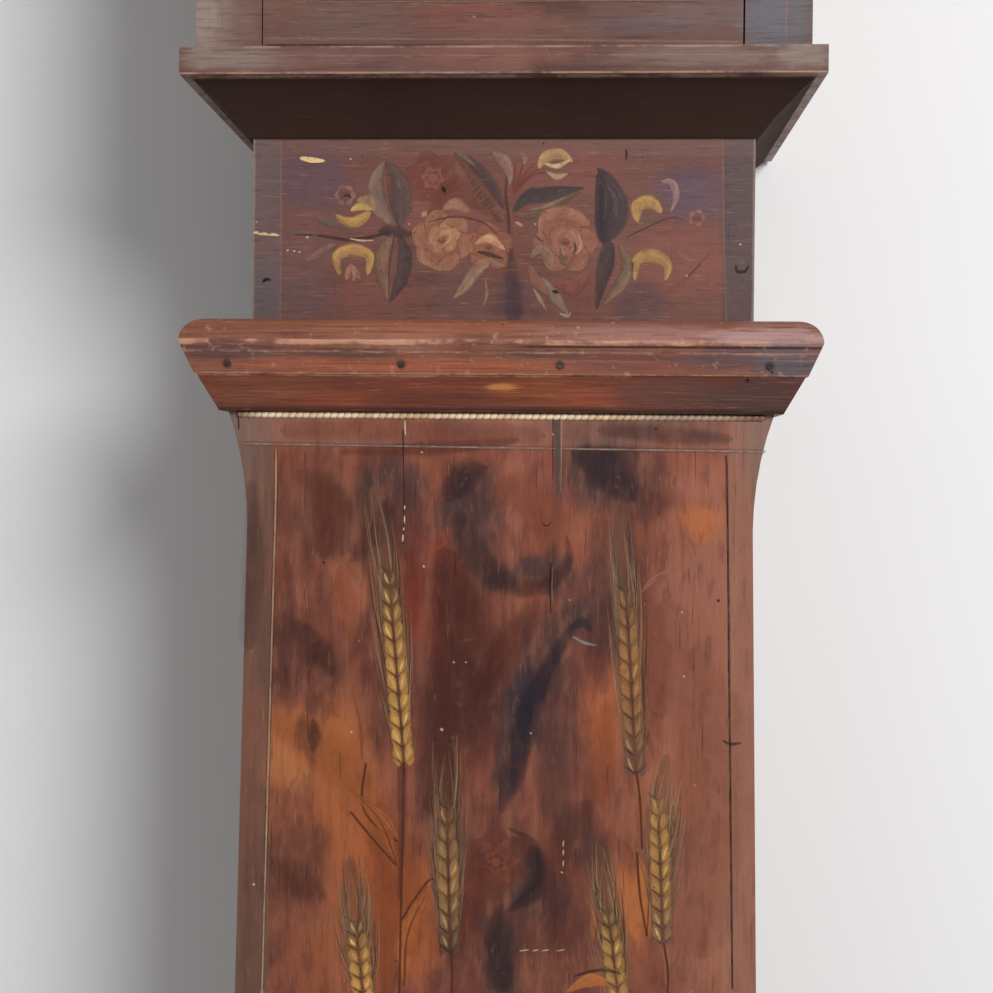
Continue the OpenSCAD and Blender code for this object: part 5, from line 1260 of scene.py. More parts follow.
# Single strokes of the spray, in the magnified grid of the neck, in rows as on the trunk
SPRAY_STROKES = {
    "faded petals": [
        ([(560, 250), (640, 170), (720, 190), (790, 262)], [40, 110, 100, 30],
         (146, 88, 72), (122, 70, 58), 1, 0.5),
        ([(636, 46), (690, 100), (740, 170), (786, 262)], [20, 64, 84, 20],
         (150, 100, 82), (96, 68, 62), 1, 0.75),
    ],
    "feather": [
        ([(640, 44), (704, 92), (752, 150), (790, 226)], [14, 42, 46, 8],
         (104, 86, 84), (78, 62, 64), 3, 0.7, 0.7),
        ([(628, 34), (662, 58), (700, 92)], [10, 26, 6], (150, 122, 106), None, 4, 0.6, 0.8),
    ],
    "middle stem": [
        ([(800, 90), (794, 180), (806, 260), (806, 340)], [6, 12, 22, 18], (84, 62, 60), None, 1, 0.6, 0.9),
        ([(808, 330), (814, 440), (822, 572)], [16, 60, 90], (84, 64, 68), None, 1, 0.4, 0.95),
        ([(806, 210), (812, 272), (808, 320)], [4, 8, 4], (166, 112, 92), None, 3, 0.5),
        ([(822, 262), (836, 268), (846, 276)], [8, 14, 6], (190, 146, 124), None, 3, 0.8),
    ],
    "left branch": [
        ([(150, 300), (230, 304), (330, 316), (450, 292)], [4, 10, 16, 10], (76, 58, 56), None, 2, 0.75),
        ([(318, 312), (350, 318), (392, 318)], [4, 9, 4], (216, 182, 146), None, 4, 0.85),
        ([(216, 244), (244, 262), (286, 268), (336, 288)], [10, 30, 26, 6],
         (136, 112, 106), (106, 84, 82), 2, 0.85),
        ([(184, 382), (216, 366), (250, 340), (276, 330)], [8, 34, 34, 8],
         (160, 122, 108), (132, 94, 86), 2, 0.85),
        ([(136, 284), (154, 290), (172, 296)], [16, 34, 14], (126, 106, 106), None, 2, 0.6),
        ([(466, 284), (410, 216), (398, 140), (426, 76)], [10, 64, 62, 8],
         GREY_TAN, (118, 94, 84), 3, 0.92),
        ([(470, 284), (478, 210), (466, 130), (428, 74)], [10, 78, 72, 8],
         (92, 74, 72), (112, 90, 84), 2, 0.92),
        ([(468, 280), (442, 200), (428, 80)], [4, 6, 3], (66, 52, 50), None, 4, 0.35),
        ([(454, 292), (418, 360), (420, 430), (438, 508)], [8, 52, 46, 6],
         (156, 118, 96), (126, 92, 78), 3, 0.92),
        ([(462, 292), (486, 350), (478, 430), (438, 510)], [8, 56, 50, 6],
         (78, 64, 64), (98, 76, 72), 2, 0.92),
        ([(456, 296), (440, 400), (437, 506)], [4, 6, 3], (58, 46, 46), None, 4, 0.4),
        ([(404, 290), (450, 288), (498, 300), (520, 292)], [20, 48, 40, 10],
         (82, 66, 68), None, 3, 0.6, 0.8),
    ],
    "pink bud": [
        ([(298, 184), (312, 180), (324, 188)], [4, 13, 4], (84, 52, 50), None, 4, 0.9),
    ],
    "yellow buds": [
        ([(340, 196), (376, 196), (394, 230)], [14, 46, 20], (180, 136, 104), None, 3, 0.85),
        ([(276, 238), (300, 258), (340, 262), (384, 232)], [14, 38, 46, 24],
         BUD_YELLOW, BUD_SHADE, 4, 0.92),
        ([(320, 228), (352, 214), (386, 226)], [12, 34, 12], (206, 174, 118), BUD_YELLOW, 5, 0.9),
        ([(288, 424), (282, 366), (330, 348), (378, 366), (372, 424)], [14, 40, 50, 40, 14],
         BUD_YELLOW, BUD_SHADE, 3, 0.92),
        ([(306, 440), (324, 404), (350, 436)], [12, 40, 12], (176, 120, 104), None, 4, 0.85),
        ([(330, 396), (332, 424), (330, 444)], [6, 14, 4], (196, 142, 124), None, 5, 0.7),
    ],
    "left roses": [
        ([(600, 226), (640, 206), (684, 232)], [14, 52, 14], (178, 126, 102), None, 4, 0.8),
        ([(556, 262), (640, 246), (720, 262), (770, 300)], [3, 9, 9, 4], (110, 66, 52), None, 6, 0.75),
        ([(700, 330), (744, 312), (792, 348)], [10, 42, 8], (222, 172, 132), (192, 132, 102), 6, 0.95),
        ([(706, 352), (742, 360), (786, 374)], [8, 20, 6], (84, 60, 52), None, 6, 0.9),
        ([(536, 246), (546, 238), (554, 230)], [10, 26, 10], (196, 140, 114), None, 3, 0.8),
        ([(536, 330), (548, 380), (600, 410)], [10, 26, 10], (188, 136, 108), None, 4, 0.6),
    ],
    "right rose": [
        ([(898, 300), (912, 248), (984, 236), (1050, 272)], [14, 52, 60, 24],
         (180, 124, 102), ROSE_PINK, 5, 0.9),
        ([(870, 372), (896, 346), (924, 362), (934, 400)], [14, 44, 44, 10],
         (158, 126, 104), (134, 100, 84), 5, 0.88),
        ([(930, 440), (1000, 456), (1050, 410)], [16, 80, 20], (158, 98, 86), (134, 82, 74), 4, 0.8),
        ([(866, 392), (884, 440), (924, 486)], [16, 48, 10], (168, 116, 96), (142, 92, 78), 4, 0.8),
        ([(960, 340), (966, 384), (984, 396)], [5, 18, 5], (116, 98, 78), None, 6, 0.75),
        ([(1016, 296), (1022, 336), (1008, 362)], [5, 20, 5], (196, 156, 124), None, 6, 0.7),
        ([(1004, 320), (1006, 344), (1000, 358)], [3, 12, 3], (96, 66, 56), None, 6, 0.8),
        ([(880, 300), (898, 316), (910, 322)], [3, 7, 3], (88, 58, 48), None, 6, 0.8),
    ],
    "leaves below": [
        ([(772, 384), (716, 396), (672, 452), (634, 496)], [18, 46, 48, 5],
         (170, 134, 110), (140, 104, 86), 3, 0.92),
        ([(700, 388), (740, 380), (796, 398)], [14, 30, 8], (168, 124, 102), None, 4, 0.8),
        ([(732, 436), (736, 480), (726, 520)], [4, 14, 4], (158, 122, 104), None, 3, 0.8),
        ([(900, 430), (936, 480), (984, 546)], [20, 52, 10], (158, 132, 116), (128, 100, 88), 3, 0.92),
        ([(878, 464), (900, 500), (918, 532)], [5, 18, 4], (166, 138, 120), None, 4, 0.85),
        ([(956, 540), (984, 548), (992, 536)], [6, 14, 4], (180, 154, 136), None, 4, 0.8),
    ],
    "tulips": [
        ([(752, 48), (786, 76), (804, 112), (806, 150)], [18, 52, 34, 6],
         (172, 136, 118), (128, 92, 82), 3, 0.9),
        ([(838, 50), (852, 66), (850, 90)], [8, 26, 6], (150, 120, 106), None, 3, 0.85),
        ([(894, 100), (914, 66), (960, 56), (998, 80)], [14, 46, 46, 14],
         (208, 168, 118), (170, 130, 92), 3, 0.9),
        ([(912, 84), (950, 92), (992, 72)], [8, 20, 8], (220, 196, 150), None, 4, 0.8),
        ([(918, 108), (950, 124), (984, 114)], [8, 26, 8], (178, 148, 112), None, 3, 0.9),
    ],
    "long leaf": [
        ([(816, 232), (860, 188), (930, 176), (1034, 158)], [12, 60, 46, 6],
         (70, 62, 64), (86, 74, 72), 3, 0.95),
        ([(820, 240), (880, 240), (950, 206), (1034, 164)], [14, 36, 30, 6],
         (132, 106, 82), (104, 80, 66), 3, 0.9),
        ([(864, 226), (920, 212), (976, 186)], [4, 12, 4], (164, 138, 110), None, 4, 0.7),
    ],
    "tall leaves": [
        ([(1072, 96), (1102, 130), (1122, 200), (1118, 262), (1094, 322)], [8, 58, 106, 98, 40],
         (86, 72, 76), (64, 54, 58), 3, 0.88),
        ([(1076, 110), (1084, 200), (1084, 280), (1094, 330)], [14, 44, 46, 26],
         (74, 60, 64), None, 2, 0.85),
        ([(1100, 150), (1128, 190), (1130, 250)], [5, 20, 5], (128, 110, 104), None, 4, 0.4, 0.8),
        ([(1086, 140), (1098, 190), (1094, 260)], [4, 14, 4], (116, 100, 88), None, 4, 0.35, 0.8),
        ([(1110, 316), (1096, 400), (1082, 460), (1070, 530)], [36, 66, 40, 8],
         (68, 56, 58), (94, 74, 70), 3, 0.93),
        ([(1142, 332), (1166, 400), (1136, 462), (1090, 516)], [10, 52, 44, 6],
         (150, 122, 94), (114, 88, 72), 3, 0.92),
    ],
    "round bud": [
        ([(1196, 264), (1196, 214), (1238, 204), (1268, 236)], [16, 52, 56, 22],
         (208, 162, 100), (156, 118, 80), 3, 0.92),
        ([(1214, 270), (1232, 250), (1258, 262)], [10, 26, 6], (120, 98, 76), None, 4, 0.75),
        ([(1266, 138), (1298, 142), (1312, 182), (1296, 232)], [10, 32, 26, 5],
         (176, 140, 130), (140, 106, 102), 3, 0.9),
    ],
    "last buds": [
        ([(1362, 258), (1378, 250), (1390, 262)], [4, 14, 4], (132, 80, 66), None, 4, 0.75),
        ([(1188, 442), (1194, 382), (1238, 366), (1286, 394), (1278, 440)], [12, 40, 56, 40, 14],
         (204, 160, 98), (150, 114, 76), 3, 0.92),
        ([(1318, 350), (1344, 374), (1382, 378)], [6, 20, 6], (158, 112, 104), None, 3, 0.8),
        ([(1160, 310), (1200, 290), (1290, 250), (1340, 256)], [4, 8, 6, 3], (96, 64, 60), None, 2, 0.6),
    ],
    "pale chip": [
        ([(166, 66), (204, 74), (244, 76)], [12, 24, 10], (240, 204, 150), None, 6, 1.0),
        ([(178, 80), (206, 84), (238, 82)], [3, 5, 3], (96, 66, 52), None, 6, 0.6),
    ],
    "dark holes": [
        ([(600, 152), (606, 164), (612, 174)], [6, 18, 5], (36, 28, 30), None, 6, 0.95),
        ([(934, 472), (944, 474), (956, 478)], [7, 14, 7], (28, 22, 24), None, 6, 0.95),
        ([(1494, 392), (1500, 412), (1522, 412), (1534, 394)], [6, 13, 12, 6], (40, 36, 38), None, 6, 0.85),
        ([(1500, 392), (1514, 386), (1528, 390)], [3, 8, 3], (136, 124, 120), None, 6, 0.5),
        ([(52, 446), (66, 436), (80, 440)], [5, 15, 5], (34, 28, 32), None, 6, 0.9),
        ([(1160, 40), (1162, 56), (1160, 74)], [4, 8, 3], (28, 22, 24), None, 6, 0.85),
    ],
}


def neck_ornament(finish):
    """The spray on the neck, laid out in a magnified grid of the photo's neck."""

    def place(p):
        return on_board(GRID_LEFT + p.x / ZOOM, GRID_TOP + p.y / ZOOM, NECK_Y)

    strokes = Strokes(place, NECK_PIXEL / ZOOM, 9.0)
    strokes.softness = 0.62
    lay = strokes.lay
    chance = random.Random(3)
    # Thin border lines
    for line, cover in NECK_LINES:
        lay(line, [6, 7, 6], srgb(160, 134, 120), level=1, cover=cover * 0.8, soft=0.9)
    # A faded red rose and feathered leaf behind the others
    for radius, tint in PETAL_RINGS:
        petals(strokes, FADED_PETALS, radius * 0.8, 6, 0.55, [radius * 0.2, radius * 0.7, radius * 0.2],
               (paint(tint), srgb(118, 66, 56)), 1, 0.4, turn=radius)
    lay_rows(strokes, SPRAY_STROKES["faded petals"])
    for i in range(16):
        t = i / 15
        root = Vector((652 + 120 * t, 56 + 168 * t))
        tip = root + Vector((chance.uniform(-56, -36), chance.uniform(26, 44)))
        barb = [root, root.lerp(tip, 0.5) + Vector((-3, 3)), tip]
        lay(barb, [5, 12, 3], srgb(160, 114, 94), srgb(142, 94, 78), level=2,
            cover=chance.uniform(0.2, 0.5), soft=0.8)
    lay_rows(strokes, SPRAY_STROKES["feather"])
    # Dark middle stem
    lay_rows(strokes, SPRAY_STROKES["middle stem"])
    # Left branch: twig, leaves and buds
    lay_rows(strokes, SPRAY_STROKES["left branch"])
    # Small round pink bud
    petals(strokes, PINK_BUD, 24, 6, 0.6, [8, 24, 8], (srgb(168, 124, 110), srgb(140, 96, 88)), 3, 0.85)
    lay_rows(strokes, SPRAY_STROKES["pink bud"])
    # Yellow crescent and horseshoe buds
    lay_rows(strokes, SPRAY_STROKES["yellow buds"])
    # Roses
    lay_roses(strokes, ROSES["left"])
    lay_rows(strokes, SPRAY_STROKES["left roses"])
    lay_roses(strokes, ROSES["right"])
    lay_rows(strokes, SPRAY_STROKES["right rose"])
    # Leaves and light strokes under the roses
    lay_rows(strokes, SPRAY_STROKES["leaves below"])
    # Tulips and their fan of stems
    for tip in TULIP_TIPS:
        lay([TULIP_FOOT, ((TULIP_FOOT[0] + tip[0]) / 2, 120), tip], [7, 9, 5], srgb(132, 72, 56), level=2,
            cover=0.8)
    lay_rows(strokes, SPRAY_STROKES["tulips"])
    # Long dark leaf from the middle to the right
    lay_rows(strokes, SPRAY_STROKES["long leaf"])
    # Tall dark leaf and the olive one at the right
    lay_rows(strokes, SPRAY_STROKES["tall leaves"])
    # Buds at the right
    lay_rows(strokes, SPRAY_STROKES["round bud"])
    petals(strokes, RIGHT_BUD, 19, 5, 0.65, [8, 22, 8], (srgb(174, 114, 98), srgb(146, 92, 80)), 3, 0.88)
    lay_rows(strokes, SPRAY_STROKES["last buds"])
    for i in range(9):
        x = 1240 + 13 * i
        feather = [(x, 500 - 9 * i), (x + 50, 486 - 13 * i), (x + 96, 460 - 17 * i)]
        lay(feather, [3, 10, 3], srgb(160, 96, 80), level=2, cover=0.22, soft=0.9)
    # Chips, holes, specks and fine threads of wear
    lay_rows(strokes, SPRAY_STROKES["pale chip"])
    for x0, x1, y in NECK_CHIPS:
        lay([(x0, y), ((x0 + x1) / 2, y - 2), (x1, y + 2)], [4, 12, 5], srgb(228, 194, 148), level=6,
            cover=0.95)
    for x, y, size in NECK_DOTS:
        lay([(x - size * 0.4, y - size * 0.2), (x, y + size * 0.1), (x + size * 0.4, y - size * 0.2)],
            [size * 0.5, size * 0.75, size * 0.4], srgb(206, 194, 184), level=6, cover=0.85)
    lay_rows(strokes, SPRAY_STROKES["dark holes"])
    for i in range(160):
        x, y = chance.uniform(20, 1510), chance.uniform(10, 560)
        long = chance.uniform(14, 60)
        step = Vector((long, chance.uniform(-3, 3))) if i % 2 else Vector((chance.uniform(-3, 3), long))
        colour = srgb(176, 146, 128) if i % 3 else srgb(56, 42, 42)
        lay([(x, y), Vector((x, y)) + step], [1.5, 3.2, 1.5], colour, level=5,
            cover=chance.uniform(0.08, 0.3))
    strokes.piece("neck_ornament", finish, "case")


def flat_place(face_y):
    """Place for strokes that are laid out in mm right of the middle and mm above the floor."""
    return lambda p: Vector((p.x * MM, face_y, p.y * MM))


def frame_lines(strokes, x0, x1, z0, z1, width, colour, cover):
    """Four border lines that stop just short of each other."""
    for line in ([(x0, z0), (x0, z1)], [(x1, z0), (x1, z1)], [(x0, z0), (x1, z0)], [(x0, z1), (x1, z1)]):
        strokes.lay(line, [width * 2, width * 2], srgb(58, 38, 32), level=1, cover=cover * 0.6)
        strokes.lay(line, [width, width * 1.15, width * 0.9, width], colour, level=2, cover=cover)


# The plinth's ornament, in mm right of the middle and above the floor: its border, roses, and
# the leaves of one half
PLINTH_BORDER = (-178, 178, 100, 258)
PLINTH_ROSES = [
    ((-22, 182), 26, SALMON, ROSE_PINK, ROSE_LIGHT, 6, 0.3),
    ((26, 176), 24, (158, 98, 78), ROSE_PINK, (172, 114, 88), 6, 0.0),
]
PLINTH_LEAVES = [
    ((44, 178), (92, 204), 8, 15),
    ((46, 170), (96, 160), -7, 14),
    ((30, 150), (62, 130), -5, 12),
    ((34, 206), (66, 228), 5, 11),
]


def case_lines(finish):
    """Border lines lower on the trunk, on the hood's uprights and on the plinth."""
    strokes = Strokes(flat_place(TRUNK_Y), MM, 12.0)
    low = on_board(*LEFT_LINE[-1], TRUNK_Y)
    high = on_board(*LEFT_LINE[-2], TRUNK_Y)
    lean = (low.x - high.x) / (high.z - low.z)
    end = TRUNK_FOOT + 30 * MM
    foot = (low.x + lean * (low.z - end)) / MM
    base = end / MM
    strokes.lay([(low.x / MM, low.z / MM + 2), (foot, base)], [2.1, 1.9, 2.3, 2.0], srgb(188, 148, 108),
                level=2, cover=0.85)
    right_low = on_board(*RIGHT_LINE[-1], TRUNK_Y).x / MM
    strokes.lay([(-foot, base), (right_low, low.z / MM + 2)], [2.0, 2.2, 1.9], srgb(72, 48, 40),
                level=1, cover=0.7)
    strokes.lay([(foot, base), (-foot, base)], [1.8, 2.0, 1.7], srgb(178, 142, 112), level=2, cover=0.8)
    strokes.piece("trunk_border", finish, "case")
    hood = Strokes(flat_place(HOOD_Y), MM, 12.0)
    stile = on_board(222, 20, HOOD_Y).x / MM
    for x in (stile, -stile):
        hood.lay([(x, HOOD_FOOT / MM + 3), (x, HOOD_HEAD / MM - 20)], [1.1, 1.3, 1.0], srgb(168, 136, 118),
                 level=1, cover=0.5)
    hood.piece("hood_border", finish, "case")
    plinth = Strokes(flat_place(PLINTH_Y), MM, 12.0)
    frame_lines(plinth, *PLINTH_BORDER, 2.0, srgb(180, 142, 108), 0.75)
    lay_roses(plinth, PLINTH_ROSES)
    for hand in (-1, 1):
        for root, tip, bend, width in PLINTH_LEAVES:
            leaf(plinth, (hand * root[0], root[1]), (hand * tip[0], tip[1]), hand * bend, width, GREY_TAN,
                 DARK_LEAF)
        plinth.lay([(hand * 98, 184), (hand * 108, 190), (hand * 116, 182)], [4, 13, 4], BUD_YELLOW,
                   srgb(150, 116, 72), level=3)
    plinth.piece("plinth_ornament", finish, "case")


# The door's ornament, in mm right of the middle and above the floor: the knot of the stems, where
# they cross the door's head, and head and foot of its ears
KNOT = (0, 905)
STEM_TOPS = (-88, -66, -34, 70, 96, 84)
DOOR_EARS = [((-40, 720), (-14, 600)), ((0, 752), (0, 612)), ((40, 716), (14, 598))]


def door_ornament(finish):
    """The stems run on down the trunk's door, where they are tied, inside a border line."""
    strokes = Strokes(flat_place(TRUNK_Y), MM, 6.0)
    chance = random.Random(11)
    top, foot = DOOR_TOP / MM, DOOR_FOOT / MM
    frame_lines(strokes, -102, 102, foot + 12, top - 12, 2.0, srgb(178, 140, 104), 0.75)
    knot = Vector(KNOT)
    for i, x in enumerate(STEM_TOPS):
        start = Vector((x, top - 6))
        stem = [start, start.lerp(knot, 0.5) + Vector((x * 0.22, 0)), knot + Vector((x * 0.04, 0)),
                knot + Vector((-x * 0.45, -110 - 6 * i))]
        strokes.lay(stem, [1.8, 1.8, 1.7, 1.2], STEM, level=2, cover=0.9)
    for hand in (-1, 1):
        for k, z in enumerate((1085, 1020, 965)):
            root = (hand * (30 - 7 * k), z)
            leaf(strokes, root, (hand * (76 - 4 * k), z + 48), hand * 9, 15, LEAF_ORANGE, srgb(150, 80, 46),
                 cover=0.7)
    strokes.lay([(-16, 905), (0, 901), (16, 906)], [7, 9, 7], srgb(150, 80, 60), srgb(110, 56, 44), level=4,
                cover=0.9)
    rose(strokes, (-6, 980), 24, srgb(150, 88, 68), srgb(122, 66, 52), SALMON, 6, 0.2)
    # Three ears of the lower half, foot down
    for head, base in DOOR_EARS:
        top_of_fan = Vector(head) + (Vector(head) - Vector(base)).normalized() * 44
        wheat_ear(strokes, top_of_fan, head, base, 16, 9, (GOLD, GOLD, DULL), GLEAM, chance)
        strokes.lay([base, (base[0] * 0.5, base[1] - 50), (0, base[1] - 90)], [1.8, 1.6, 1.2], STEM,
                    level=1, cover=0.9)
    strokes.piece("door_ornament", finish, "trunk_door")
    hood = Strokes(flat_place(HOOD_Y), MM, 12.0)
    x0, x1 = edge("hood_door", "x0") / MM, edge("hood_door", "x1") / MM
    z0, z1 = edge("hood_door", "z0") / MM, edge("hood_door", "z1") / MM
    frame_lines(hood, x0 + 28, x1 - 28, z0 + 28, z1 - 28, 1.0, srgb(168, 136, 112), 0.55)
    # At the door's foot: a pale line, partly worn paint and partly painted highlight on its lower edge, and
    # a dark line of painted shade at the seam under it
    for line, width, colour, cover in (
        ([(264, 38.5), (500, 39.5), (742, 42)], 3.4, srgb(160, 128, 116), 0.6),
        ([(264, 45), (500, 46), (742, 48.5)], 3.0, srgb(58, 40, 38), 0.6),
    ):
        at = [on_board(x, y, HOOD_Y) / MM for x, y in line]
        hood.lay([(a.x, a.z) for a in at], [width * 0.64, width * 0.5, width * 0.7], colour, level=2,
                 cover=cover, soft=0.8)
    hood.piece("hood_door_border", finish, "hood_door")


def rope_bead(finish):
    """Carved half-round bead with slanted twists."""
    (x0, y0, z0), (x1, y1, z1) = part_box("rope_bead")
    radius = min(y1 - y0, (z1 - z0) / 2) - 0.00002
    centre_z = (z0 + z1) / 2
    lay, slant = 4.4 * MM, 0.6 * MM
    columns = int((x1 - x0) / lay * 9)
    turns = 10
    verts, faces, twist = [], [], []
    for i in range(columns + 1):
        x = x0 + (x1 - x0) * i / columns
        for k in range(turns + 1):
            angle = math.pi * k / turns
            wave = abs(math.sin(math.pi * (x + slant * angle) / lay))
            r = radius * (0.74 + 0.26 * wave ** 0.6)
            verts.append((x, y1 - r * math.sin(angle), centre_z + r * math.cos(angle)))
            twist.append(wave)
    for i in range(columns):
        for k in range(turns):
            a = i * (turns + 1) + k
            faces.append((a, a + 1, a + turns + 2, a + turns + 1))
    bead = mesh_piece("gilt_rope_bead", verts, faces, finish, "case", {"twist": twist})
    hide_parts("rope_bead")


DIAL_CENTRE = Vector(((edge("dial", "x0") + edge("dial", "x1")) / 2, edge("dial", "y0"),
                      (edge("dial", "z0") + edge("dial", "z1")) / 2))
DIAL_R = (edge("dial", "x1") - edge("dial", "x0")) / 2
NUMERALS = "XII I II III IIII V VI VII VIII IX X XI".split()


def dial_marks(finish):
    """Minute dots, two fine circles and upright hour numerals on the enamel."""
    strokes = Strokes(lambda p: DIAL_CENTRE + Vector((p.x * MM, 0, p.y * MM)), MM, 1.2)
    ink = srgb(20, 20, 22)
    outer = DIAL_R / MM - 13
    for radius, width in ((outer, 0.5), (outer - 7, 0.5), (outer - 31, 0.4)):
        ring = [direction(a) * radius for a in (math.tau * i / 72 for i in range(73))]
        strokes.lay(ring, [width, width], ink)
    for minute in range(60):
        a = math.tau * minute / 60
        out = Vector((math.sin(a), math.cos(a)))
        centre = out * (outer - 3.5)
        size = 2.6 if minute % 5 == 0 else 1.1
        strokes.lay([centre - out * size / 2, centre + out * size / 2], [size * 0.6, size, size * 0.6], ink)
    shapes = {
        "I": (3.0, [((0, 0), (0, 15), 2.2)]),
        "V": (9.0, [((-3.6, 15), (0, 0), 2.6), ((3.6, 15), (0, 0), 0.9)]),
        "X": (9.0, [((-3.6, 15), (3.6, 0), 2.6), ((3.6, 15), (-3.6, 0), 0.9)]),
    }
    for hour, numeral in enumerate(NUMERALS):
        a = math.tau * hour / 12
        out = Vector((math.sin(a), math.cos(a)))
        right = Vector((out.y, -out.x))
        wide = sum(shapes[letter][0] + 1.4 for letter in numeral) - 1.4
        at = -wide / 2
        for letter in numeral:
            letter_wide, bars = shapes[letter]
            middle = at + letter_wide / 2
            for (xa, ya), (xb, yb), width in bars:
                a_end = out * (outer - 27 + ya) + right * (middle + xa)
                b_end = out * (outer - 27 + yb) + right * (middle + xb)
                strokes.lay([a_end, b_end], [width, width], ink)
            at += letter_wide + 1.4
        for level in (0, 15):
            serif = out * (outer - 27 + level)
            strokes.lay([serif - right * wide / 2, serif + right * wide / 2], [0.6, 0.6], ink)
    strokes.piece("dial_marks", finish, "case")


def brass_relief(finish):
    """Stamped relief of the surround: bead rings, rays over the dial, scrolls in the corners."""
    front = edge("dial_surround", "y0")
    x1 = edge("dial_surround", "x1") / MM
    z0, z1 = edge("dial_surround", "z0") / MM, edge("dial_surround", "z1") / MM
    centre = Vector((0, DIAL_CENTRE.z / MM))
    strokes = Strokes(flat_place(front + 0.03 * MM), MM, 2.0)
    white = (1, 1, 1, 1)
    crown = Vector((0, z1 - x1))

    def within(p):
        return abs(p.x) < x1 - 7 if p.y < crown.y else (p - crown).length < x1 - 7

    def ridge(line, width, height=1.0):
        strokes.lay(line, width if isinstance(width, list) else [width, width], white, level=0,
                    height=height * MM)

    for radius, width, height in ((DIAL_R / MM + 2.5, 3.0, 1.5), (DIAL_R / MM + 7.0, 1.6, 0.9)):
        angles = [math.radians(d) for d in range(-75, 256, 5)]
        arc = [centre + direction(a) * radius for a in angles if abs(math.cos(a) * radius) < x1 - 2]
        high = [p for p in arc if p.y >= centre.y]
        for side in (-1, 1):
            part = [p for p in high if p.x * side > 0]
            if len(part) > 2:
                ridge(part, width, height)
    # Border: rope edge along the sides and over the crown
    border = [Vector((-x1 + 3, z0 + 3)), Vector((-x1 + 3, crown.y))]
    over = [math.radians(d) for d in range(6, 175, 6)]
    border += [crown + Vector((-math.cos(a), math.sin(a))) * (x1 - 3) for a in over]
    border += [Vector((x1 - 3, crown.y)), Vector((x1 - 3, z0 + 3))]
    ridge(border, 3.2, 1.4)
    # Rays over the dial, each as long as the border leaves room for
    for i in range(-9, 10):
        a = math.radians(90 + i * 7.2)
        out = direction(a)
        inner = DIAL_R / MM + 13
        reach = inner
        while within(centre + out * (reach + 1)):
            reach += 1
        length = (reach - inner) * (0.92 if i % 2 == 0 else 0.7)
        if i == 0:
            length = 18
        if length > 9:
            ridge([centre + out * inner, centre + out * (inner + length)], [3.4, 5.2, 4.2, 1.0], 1.1)
    # A leafy boss at the head of the crown and scrolls at both hands of it
    for i in range(8):
        a = i * math.tau / 8
        out = direction(a)
        boss = centre + Vector((0, DIAL_R / MM + 46))
        ridge([boss + out * 2, boss + out * 8, boss + out * 13], [2, 6, 1], 1.6)
    for hand in (-1, 1):
        corner, size = Vector((hand * (x1 - 26), z0 + 27)), 14
        spiral = [corner + Vector((hand * math.cos(t), math.sin(t))) * size * (1 - t / 14) for t in
                  (0.35 * i for i in range(34))]
        ridge(spiral, [1.0, 4.0, 3.4, 2.6, 1.4], 1.3)
        for k in range(5):
            a = 0.5 + k * 0.6
            out = Vector((hand * math.cos(a), math.sin(a)))
            ridge([corner + out * size, corner + out * (size + 4), corner + out * (size + 8)],
                  [1.0, 5.0, 0.8], 1.1)
    strokes.piece("brass_relief", finish, "case", smooth=True)


def laid_rope(node, finish):
    """Three strands laid round each other, from the barrel down to the weight's stem."""
    (x0, y0, z0), (x1, y1, z1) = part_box(node)
    radius = (x1 - x0) / 2
    strand = radius / (1 + 2 / math.sqrt(3))
    off = radius - strand
    sides, pitch, step = 24, 16 * MM, 1.5 * MM
    rings = int((z1 - z0) / step)
    verts, faces, crown = [], [], []
    for i in range(rings + 1):
        z = z1 + (z0 - z1) * i / rings
        for k in range(sides):
            angle = math.tau * k / sides
            part = (angle + math.pi / 3) % (math.tau / 3) - math.pi / 3
            r = off * math.cos(part) + math.sqrt(max(0.0, strand ** 2 - (off * math.sin(part)) ** 2))
            r = max(r, 0.66 * radius)
            turned = angle + math.tau * z / pitch
            verts.append(((x0 + x1) / 2 + r * math.cos(turned), (y0 + y1) / 2 + r * math.sin(turned), z))
            crown.append((r / radius - 0.66) / 0.34)
    for i in range(rings):
        for k in range(sides):
            a, b = i * sides + k, i * sides + (k + 1) % sides
            faces.append((a, a + sides, b + sides, b))
    faces.append(tuple(range(sides)))
    faces.append(tuple(reversed(range(rings * sides, (rings + 1) * sides))))
    rope = mesh_object("laid_" + node, verts, faces, finish, True, {"crown": crown})
    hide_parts(node)
    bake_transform(rope)


def bob_rings(finish):
    """Turned rings and a boss on the face of the pendulum's bob."""
    (x0, y0, z0), (x1, y1, z1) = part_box("pendulum_bob")
    centre = Vector(((x0 + x1) / 2, y0, (z0 + z1) / 2))
    radius, depth = (x1 - x0) / 2, (y1 - y0) / 2
    big = (radius * radius + depth * depth) / (2 * depth)
    verts, faces = [], []
    rings = [(0.0, 0.0), (0.05, 0.5), (0.09, 0.6), (0.12, 0.1), (0.30, 0.12), (0.33, 0.7), (0.36, 0.12),
             (0.60, 0.12), (0.63, 0.7), (0.66, 0.12)]
    steps = 96
    for share, rise in rings:
        r = max(radius * share, 0.0002)
        skin = y0 + big - math.sqrt(big * big - r * r) - rise * 0.4 * MM - 0.02 * MM
        skin = max(skin, y0)
        for i in range(steps):
            a = math.tau * i / steps
            verts.append((centre.x + r * math.cos(a), skin, centre.z + r * math.sin(a)))
    for k in range(len(rings) - 1):
        for i in range(steps):
            a, b = k * steps + i, k * steps + (i + 1) % steps
            faces.append((a, a + steps, b + steps, b))
    mesh_piece("bob_rings", verts, faces, finish, "pendulum")


def dress(finish, *nodes):
    """Gives nodes one finish."""
    for node in nodes:
        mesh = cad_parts[node].data
        mesh.materials.clear()
        mesh.materials.append(finish.material)


